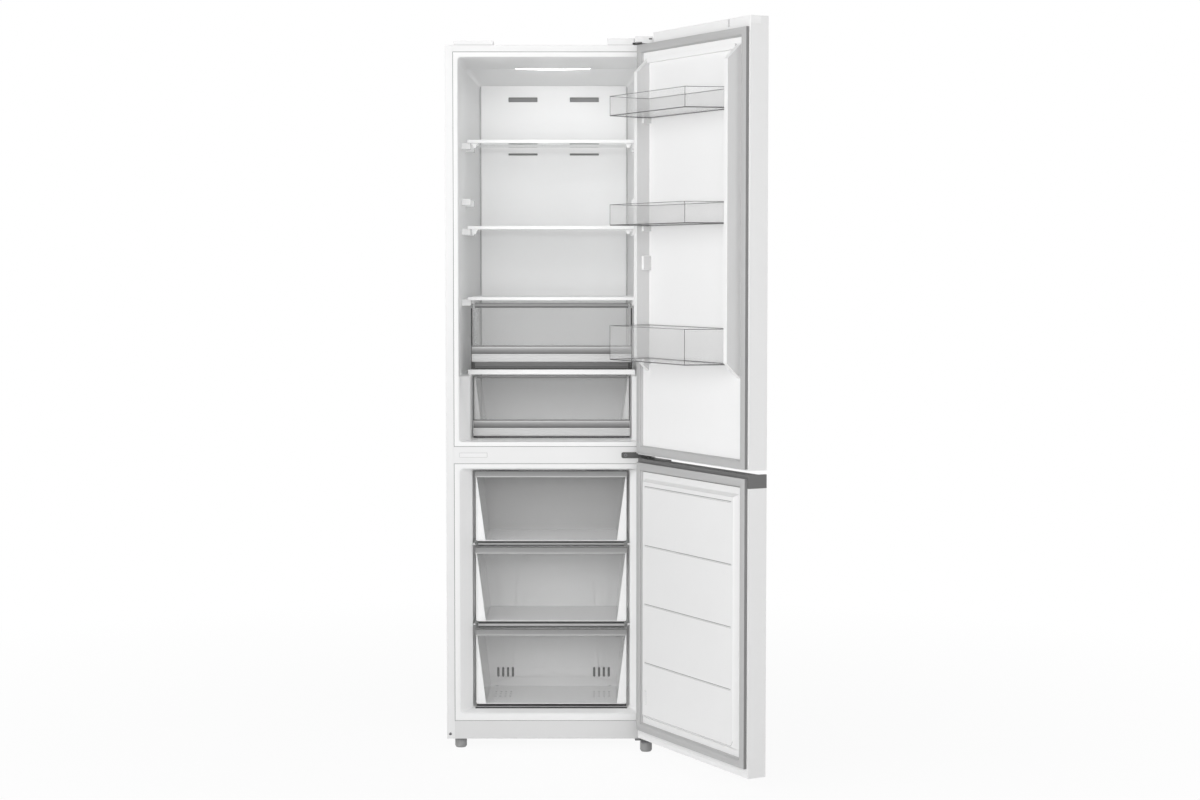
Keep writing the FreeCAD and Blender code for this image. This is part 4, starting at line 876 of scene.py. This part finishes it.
# The dark bar under the lowest drawer and the dark strip in front of it are painted shade
UNDER_SHADE_BANDS = ((0.0, 0.04), (1.0, 0.06))
UNDER_SHADE_GAP = 0.5 * MM
UNDER_SHADE_SIDE = 2 * MM
UNDER_SHADE_Y = (14 * MM, 22 * MM)
SHADE_NEAR = 0.043
SHADE_RISE = (0.1 * MM, 0.6 * MM)
low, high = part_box("freezer_drawer_bottom")
strip("freezer_floor_rail", high.x - UNDER_SHADE_SIDE, reach(low.y, UNDER_SHADE_Y), (back_low.z, low.z - UNDER_SHADE_GAP),
      UNDER_SHADE_BANDS, "cabinet", "grey_plastic")
near_z = reach(between(FREEZER_SILL, back_low.z, SHADE_NEAR / FREEZER_FLARE), SHADE_RISE)
far_z = reach(back_low.z, SHADE_RISE)
shade_profile = ((SHADE_NEAR, near_z[0]), (FREEZER_FLARE, far_z[0]), (FREEZER_FLARE, far_z[1]),
                 (SHADE_NEAR, near_z[1]))
piece("freezer_floor_strip", *extruded(shade_profile, -high.x, high.x), "gap_shade", "cabinet",
      slot="grey_plastic")

# Crispers: lips with painted shade and a painted highlight, the ribbed foot under each bar in painted shade,
# and dark edges and dark corner feet of painted shade
CRISPER_LIPS = {"fresh_drawer": 13 * MM, "cool_drawer": 6 * MM}
CRISPER_LIP_SHADE_BANDS = ((0.0, 0.1), (0.3, 0.14), (0.6, 0.28), (0.85, 0.16), (1.0, 0.06))
CRISPER_LIP_Y = (-1.2 * MM, 0.5 * MM)
CRISPER_SIDE = 9 * MM
RIB_SHADE_BANDS = ((0.0, 0.03), (0.2, 0.05), (0.3, 0.12), (0.38, 0.05), (0.6, 0.12), (0.68, 0.05), (0.9, 0.1),
             (1.0, 0.02))
RIBS_Y = (-0.8 * MM, 0.6 * MM)
RIBS_RISE = 0.4 * MM
CORNER_INSET = 0.8 * MM
CORNER_SUNK = 0.2 * MM
CORNER_SHORT = 1 * MM
CORNER_RADIUS = 0.9 * MM
CRISPER_FOOT_SIDE = 1.8 * MM
CRISPER_FOOT_RISE = 0.5 * MM
CRISPER_FOOT_OUT = 0.4 * MM
CRISPER_FOOT_THICK = 0.8 * MM
for name, lip in CRISPER_LIPS.items():
    low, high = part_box(name + "_tub")
    bar_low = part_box(name + "_bar")[0]
    strip(name + "_lip", high.x - CRISPER_SIDE, reach(low.y, CRISPER_LIP_Y), (high.z - lip, high.z),
          CRISPER_LIP_SHADE_BANDS, name, "clear_plastic")
    strip(name + "_ribs", high.x - CRISPER_SIDE, reach(low.y, RIBS_Y), (low.z + RIBS_RISE, bar_low.z),
          RIB_SHADE_BANDS, name, "clear_plastic")
    for label, side in SIDES:
        x = side * (high.x - CORNER_INSET)
        ends = [(x, low.y + CORNER_SUNK, level) for level in (low.z + CORNER_SHORT, high.z - CORNER_SHORT)]
        rod(f"{name}_{label}_edge", ends, CORNER_RADIUS, "base_shade", name, slot="clear_plastic")
        foot_x = (side * (high.x - CRISPER_SIDE), side * (high.x - CRISPER_FOOT_SIDE))
        plate(f"{name}_{label}_foot", rectangle(foot_x, (low.z + CRISPER_FOOT_RISE, bar_low.z)),
              low.y - CRISPER_FOOT_OUT, CRISPER_FOOT_THICK, "base_shade", name, slot="clear_plastic")

# Light cheeks of painted light at the sides of the cool drawer's front, dark flanks of painted shade beside
# the fresh drawer's
COOL_CHEEK_SIDE = 3 * MM
COOL_CHEEK_FOOT = 17 * MM
COOL_CHEEK_DOWN = 7 * MM
FLANK_X = (-1 * MM, 2.4 * MM)
FLANK_RISE = 1 * MM
FLANK_DOWN = 14 * MM
FLANK_SUNK = 1.5 * MM
cool_low, cool_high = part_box("cool_drawer_tub")
fresh_low, fresh_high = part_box("fresh_drawer_tub")
cheek_z = (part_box("cool_drawer_bar")[1].z, cool_high.z - COOL_CHEEK_DOWN)
flank_z = (fresh_low.z + FLANK_RISE, fresh_high.z - FLANK_DOWN)
for label, side in SIDES:
    outline = cheek(side, cool_high.x - COOL_CHEEK_SIDE, COOL_CHEEK_FOOT, cheek_z)
    plate(f"cool_drawer_{label}_cheek", outline, cool_low.y + PLATE_THICK + CHEEK_BEHIND, CHEEK_THICK,
          "edge_light", "cool_drawer", slot="clear_plastic")
    inner, outer = reach(fresh_high.x, FLANK_X)
    plate(f"fresh_drawer_{label}_flank", rectangle((side * inner, side * outer), flank_z),
          fresh_low.y + FLANK_SUNK, CHEEK_THICK, "base_shade", "fresh_drawer", slot="clear_plastic")

# Lines of the lower door's liner: painted shade at the edges of its grooves with a painted highlight below
# each, painted shade along the ledge at its foot, and a small tab with a painted shade line round it
FACE_REACH = 0.1 * MM
LEVEL_DIGITS = 5
GROOVE_SUNK = 1.6 * MM
GROOVE_DOWN = 1.1 * MM
GROOVE_RADIUS = 1 * MM
HIGHLIGHT_SUNK = 0.3 * MM
HIGHLIGHT_RISE = 0.3 * MM
HIGHLIGHT_RADIUS = 0.9 * MM
FOOT_LEDGE_RISE = 2 * MM
FOOT_LEDGE_SUNK = 0.3 * MM
FOOT_LEDGE_ROUND = 14 * MM
FOOT_LEDGE_STEPS = 6
FOOT_LEDGE_RADIUS = 0.8 * MM
TAB_X = (0.222, 0.236)
TAB_Z = (0.150, 0.188)
TAB_RADIUS = 4 * MM
TAB_SUNK = 0.2 * MM
TAB_THICK = 1.8 * MM
TAB_LINE = 0.5 * MM
ON_LINER = {"slot": "white_liner", "swing": True}
liner_shut = shut_points("lower_door_liner")
plug_face = max(point.y for point in liner_shut)
face_points = [point for point in liner_shut if point.y > plug_face - FACE_REACH]
face_levels = sorted({round(point.z, LEVEL_DIGITS) for point in face_points})
face_half = max(point.x for point in face_points)
groove_edges = face_levels[1:-1]
groove_half = max(point.x for point in face_points if round(point.z, LEVEL_DIGITS) == groove_edges[0])
for number, (groove_low, groove_high) in enumerate(zip(groove_edges[::2], groove_edges[1::2])):
    ends = [(side * groove_half, plug_face - GROOVE_SUNK, groove_high - GROOVE_DOWN) for label, side in SIDES]
    rod(f"liner_groove_{number}", ends, GROOVE_RADIUS, "groove_shade", "lower_door", **ON_LINER)
    ends = [(side * groove_half, plug_face - HIGHLIGHT_SUNK, groove_low + HIGHLIGHT_RISE) for label, side in SIDES]
    rod(f"liner_highlight_{number}", ends, HIGHLIGHT_RADIUS, "white_trim", "lower_door", **ON_LINER)
ledge_y = plug_face - FOOT_LEDGE_SUNK
ledge_z = face_levels[0] + FOOT_LEDGE_RISE
ledge_path = [(face_half, ledge_y, ledge_z)]
for step in range(FOOT_LEDGE_STEPS + 1):
    angle = math.pi / 2 * step / FOOT_LEDGE_STEPS
    ledge_path.append((FOOT_LEDGE_ROUND * (1 - math.sin(angle)) - face_half, ledge_y,
                       ledge_z + FOOT_LEDGE_ROUND * (1 - math.cos(angle))))
piece("liner_ledge_shade", *bead(ledge_path, FOOT_LEDGE_RADIUS, DEEP, closed=False), "groove_shade", "lower_door",
      **ON_LINER)
tab = soft_rectangle(TAB_X, TAB_Z, TAB_RADIUS)
plate("liner_tab", tab, plug_face - TAB_SUNK, TAB_THICK, "lower_liner", "lower_door", **ON_LINER)
hoop("tab_line", tab, plug_face, TAB_LINE, "groove_shade", "lower_door", **ON_LINER)

# Screw on the left flange, and the cross recesses as dark plates of painted shade. A head's rings are (share
# of radius, share of height)
HEAD_RINGS = ((1.0, 0.0), (1.0, 0.35), (0.9, 0.7), (0.6, 0.92), (0.25, 1.0))
HEAD_SIDES = 24
CROSS_SHARE = 0.55
CROSS_ARM = 0.22
CROSS_DEEP = 0.3 * MM
CROSS_PROUD = 0.05 * MM
SCREW_X = 9.5 * MM
SCREW_Z = 14 * MM
SCREW_RADIUS = 4 * MM
SCREW_HEIGHT = 1.8 * MM
HINGE_CROSS_X = 12 * MM
HINGE_CROSS_PROUD = 0.1 * MM
HINGE_CROSS_SIZE = 2.6 * MM


def cross(name, x, y, z, size):
    """A dark cross of painted shade for the recess in a screw's head that faces the front."""
    for label, wide, tall in (("level", size, size * CROSS_ARM), ("upright", size * CROSS_ARM, size)):
        outline = rectangle((x - wide, x + wide), (z - tall, z + tall))
        plate(f"{name}_{label}", outline, y, CROSS_DEEP, "gap_shade", "cabinet", slot="zinc")


def screw_head(name, x, y, z, radius, height):
    """A domed round head that faces the front."""
    rings = [(circle(x, z, radius * share, HEAD_SIDES), y - height * rise) for share, rise in HEAD_RINGS]
    piece(name, *loft(rings, closed_end=True), "zinc", "cabinet")
    cross(name + "_cross", x, y - height - CROSS_PROUD, z, radius * CROSS_SHARE)


panel_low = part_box("left_side_panel")[0]
screw_head("flange_screw", panel_low.x + SCREW_X, panel_low.y, panel_low.z + SCREW_Z, SCREW_RADIUS,
           SCREW_HEIGHT)
hinge_low, hinge_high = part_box("middle_hinge")
cross("middle_hinge_cross", hinge_low.x + HINGE_CROSS_X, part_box("hinge_screws")[0].y - HINGE_CROSS_PROUD,
      (hinge_low.z + hinge_high.z) / 2, HINGE_CROSS_SIZE)

# Painted shade lines of the hinge cover and the blank cap, and a dark plate of painted shade for the small
# slot in the cover's skirt
COVER_X = (0.161, 0.236)
CAP_X = (-0.272, -0.161)
COVER_FRONT = 0.7 * MM
COVER_LINE = 0.5 * MM
COVER_SEAM = 0.6 * MM
COVER_SEAM_OUT = 1 * MM
COVER_SEAM_Z = (6 * MM, 18 * MM)
SKIRT_SLOT_X = (0.277, 0.286)
SKIRT_SLOT_Z = (11 * MM, 14.5 * MM)
SKIRT_SLOT_RADIUS = 1.2 * MM
SKIRT_SLOT_PROUD = 0.15 * MM
SKIRT_SLOT_THICK = 0.4 * MM
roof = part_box("top_panel")[1].z
for label, span in (("cover", COVER_X), ("cap", CAP_X)):
    ends = [(x, COVER_FRONT, roof + COVER_LINE) for x in span]
    rod(f"hinge_{label}_line", ends, COVER_LINE, "groove_shade", "cabinet", normal=UP, slot="white_trim")
ends = [(COVER_X[1] + COVER_SEAM_OUT, COVER_FRONT, level) for level in reach(roof, COVER_SEAM_Z)]
rod("hinge_cover_seam", ends, COVER_SEAM, "groove_shade", "cabinet", slot="white_trim")
skirt_slot = soft_rectangle(SKIRT_SLOT_X, reach(roof, SKIRT_SLOT_Z), SKIRT_SLOT_RADIUS)
plate("hinge_skirt_slot", skirt_slot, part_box("hinge_covers")[0].y - SKIRT_SLOT_PROUD, SKIRT_SLOT_THICK,
      "gap_shade", "cabinet", slot="white_trim")

# Hooks under the ends of the two upper shelves, with their outline in millimetres
HOOK = ((0, 0), (20, 0), (20, -4), (15, -6), (13, -15), (5, -15), (4, -9), (0, -8))
HOOK_SIDE = 9 * MM
HOOK_BEHIND = 13 * MM
HOOK_UNDER = 0.1 * MM
HOOK_LENGTH = 26 * MM
for name in ("upper_shelf", "middle_shelf"):
    low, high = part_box(name + "_glass")
    hook_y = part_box(name + "_trim")[0].y + HOOK_BEHIND
    for label, side in SIDES:
        outline = [(side * (high.x - HOOK_SIDE - x * MM), low.z - HOOK_UNDER + z * MM) for x, z in HOOK]
        plate(f"{name}_{label}_hook", outline, hook_y, HOOK_LENGTH, "white_trim", name)

# Fine shade line round the plug in the mullion, and the spare lugs on the upper door
PLUG_LENGTH = 78 * MM
PLUG_HEIGHT = 12 * MM
PLUG_LEFT = -0.259
PLUG_RADIUS = 1 * MM
PLUG_PROUD = 0.3 * MM
PLUG_LINE = 0.7 * MM
mullion_low, mullion_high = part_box("mullion_cover")
plug_z = reach((mullion_low.z + mullion_high.z) / 2, (-PLUG_HEIGHT / 2, PLUG_HEIGHT / 2))
hoop("plug_line", soft_rectangle((PLUG_LEFT, PLUG_LEFT + PLUG_LENGTH), plug_z, PLUG_RADIUS),
     mullion_low.y - PLUG_PROUD, PLUG_LINE, "groove_shade", "cabinet", slot="white_trim")

SPARE_LUG_X = (0.2215, 0.2335)
SPARE_LUG_Z = (1.372, 1.412)
SPARE_LUG_DEEP = 26 * MM
SPARE_LUG_EDGE = 2.5 * MM
sheet_face = shut_box("upper_door_gasket")[0].y
for label, side in SIDES:
    outline = rectangle([side * x for x in SPARE_LUG_X], SPARE_LUG_Z)
    lug = plate(f"spare_lug_{label}", outline, sheet_face, SPARE_LUG_DEEP, "upper_liner", "upper_door",
                **ON_LINER)
    soften(lug, SPARE_LUG_EDGE)

# Drain pips in the floor of the bottom freezer drawer, grey with painted shade, each from two rings: (height,
# radius)
PIP_COLUMNS = 4
PIP_ROWS = 3
PIP_PITCH = (14.7 * MM, 34 * MM)
PIP_NEAR = 0.12
PIP_RINGS = ((2.6 * MM, 4.0 * MM), (4.4 * MM, 2.6 * MM))
PIP_SIDES = 12


def drain_pips(name, middle):
    """A field of small cones with flat tops about a place along X."""
    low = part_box("freezer_drawer_bottom")[0]
    points = []
    faces = []
    for column in range(PIP_COLUMNS):
        x = middle + PIP_PITCH[0] * (column - (PIP_COLUMNS - 1) / 2)
        for row in range(PIP_ROWS):
            y = low.y + PIP_NEAR + PIP_PITCH[1] * row
            first = len(points)
            for level, radius in PIP_RINGS:
                points += [(*place, low.z + level) for place in circle(x, y, radius, PIP_SIDES)]
            top = first + PIP_SIDES
            for n in range(PIP_SIDES):
                ahead = (n + 1) % PIP_SIDES
                faces.append((first + n, first + ahead, top + ahead, top + n))
            faces.append(tuple(range(top, top + PIP_SIDES)))
    piece(name, points, faces, "groove_shade", "freezer_drawer_bottom", slot="clear_plastic")


for label, side in SIDES:
    drain_pips(f"drain_pips_{label}", RETURN_X * side)


# Stage: pale floor and white background that keep the object's shadow, soft frontal light
AMBIENT = 0.3
FLOOR_HALF = 30
FLOOR_LEVEL = 0.92
FLOOR_ROUGH = 0.9
FLOOR_GLOW = 0.93
FLOOR_NEAR = 0.7
FLOOR_FAR = 3.0


def math_node(tree, operation, first, second):
    """The result of an operation on two values."""
    node = tree.nodes.new("ShaderNodeMath")
    node.operation = operation
    tree.links.new(first, node.inputs[0])
    tree.links.new(second, node.inputs[1])
    return node.outputs[0]


def seen_white(tree):
    """1 where the eye, a reflection or a clear piece looks at the background."""
    path = tree.nodes.new("ShaderNodeLightPath")
    seen = path.outputs["Is Camera Ray"]
    for ray in ("Is Glossy Ray", "Is Transmission Ray"):
        seen = math_node(tree, "MAXIMUM", seen, path.outputs[ray])
    return seen


def white_world():
    """A white background that lights the object only a little."""
    world = bpy.data.worlds.new("studio")
    bpy.context.scene.world = world
    world.use_nodes = True
    tree = world.node_tree
    sky = tree.nodes["Background"]
    sky.inputs["Color"].default_value = (1, 1, 1, 1)
    tree.links.new(remap(tree, seen_white(tree), AMBIENT, 1.0), sky.inputs["Strength"])


def paper():
    """Pale floor material that fades to white away from the object."""
    material, tree, shader = principled("paper")
    shader.inputs["Base Color"].default_value = (*grey(FLOOR_LEVEL), 1)
    shader.inputs["Roughness"].default_value = FLOOR_ROUGH
    glow = tree.nodes.new("ShaderNodeEmission")
    blend = tree.nodes.new("ShaderNodeMixShader")
    place = tree.nodes.new("ShaderNodeTexCoord")
    distance = tree.nodes.new("ShaderNodeVectorMath")
    distance.operation = "LENGTH"
    tree.links.new(place.outputs["Object"], distance.inputs[0])
    fade = remap(tree, distance.outputs["Value"], FLOOR_GLOW, 1.0, FLOOR_NEAR, FLOOR_FAR)
    tree.links.new(math_node(tree, "MULTIPLY", seen_white(tree), fade), blend.inputs[0])
    tree.links.new(shader.outputs[0], blend.inputs[1])
    tree.links.new(glow.outputs[0], blend.inputs[2])
    tree.links.new(blend.outputs[0], tree.nodes["Material Output"].inputs["Surface"])
    return material


white_world()
floor_mesh = bpy.data.meshes.new("floor")
floor_corners = rectangle((-FLOOR_HALF, FLOOR_HALF), (-FLOOR_HALF, FLOOR_HALF))
floor_mesh.from_pydata([(x, y, 0) for x, y in floor_corners], [], [(0, 1, 2, 3)])
floor_mesh.materials.append(paper())
floor = bpy.data.objects.new("floor", floor_mesh)
bpy.context.scene.collection.objects.link(floor)

# Lamps: place, width, height and power
LIGHTS = {
    "key": ((-1.0, -5.0, 2.2), 5.0, 2.2, 118),
    "left": ((-4.4, -3.4, 2.4), 3.0, 3.0, 84),
    "right": ((2.8, -5.0, 2.2), 2.0, 2.0, 46),
}
LIGHT_TARGET = (0.1, 0.2, 1.4)
for name, (place, width, height, power) in LIGHTS.items():
    lamp = bpy.data.lights.new(name, "AREA")
    lamp.shape = "RECTANGLE"
    lamp.size = width
    lamp.size_y = height
    lamp.energy = power
    holder = bpy.data.objects.new(name, lamp)
    holder.location = place
    holder.rotation_euler = (Vector(LIGHT_TARGET) - Vector(place)).to_track_quat("-Z", "Y").to_euler()
    bpy.context.scene.collection.objects.link(holder)

# Camera at the photograph's place, looking slightly down
CAMERA_PLACE = (0.139, -6.481, 1.389)
PHOTO_WIDTH = 1200
FOCAL_PIXELS = 2285.6
TILT = 0.05946
PAN = 0.00023
SENSOR = 36
lens = bpy.data.cameras.new("camera")
lens.sensor_width = SENSOR
lens.lens = FOCAL_PIXELS / PHOTO_WIDTH * SENSOR
camera = bpy.data.objects.new("camera", lens)
camera.location = CAMERA_PLACE
camera.rotation_euler = (math.pi / 2 - TILT, 0, -PAN)
bpy.context.scene.collection.objects.link(camera)
bpy.context.scene.camera = camera
bpy.context.scene.view_settings.view_transform = "Standard"

# The clear drawers put many thin layers one behind the other
CLEAR_LAYERS = 40
bpy.context.scene.cycles.transparent_max_bounces = CLEAR_LAYERS
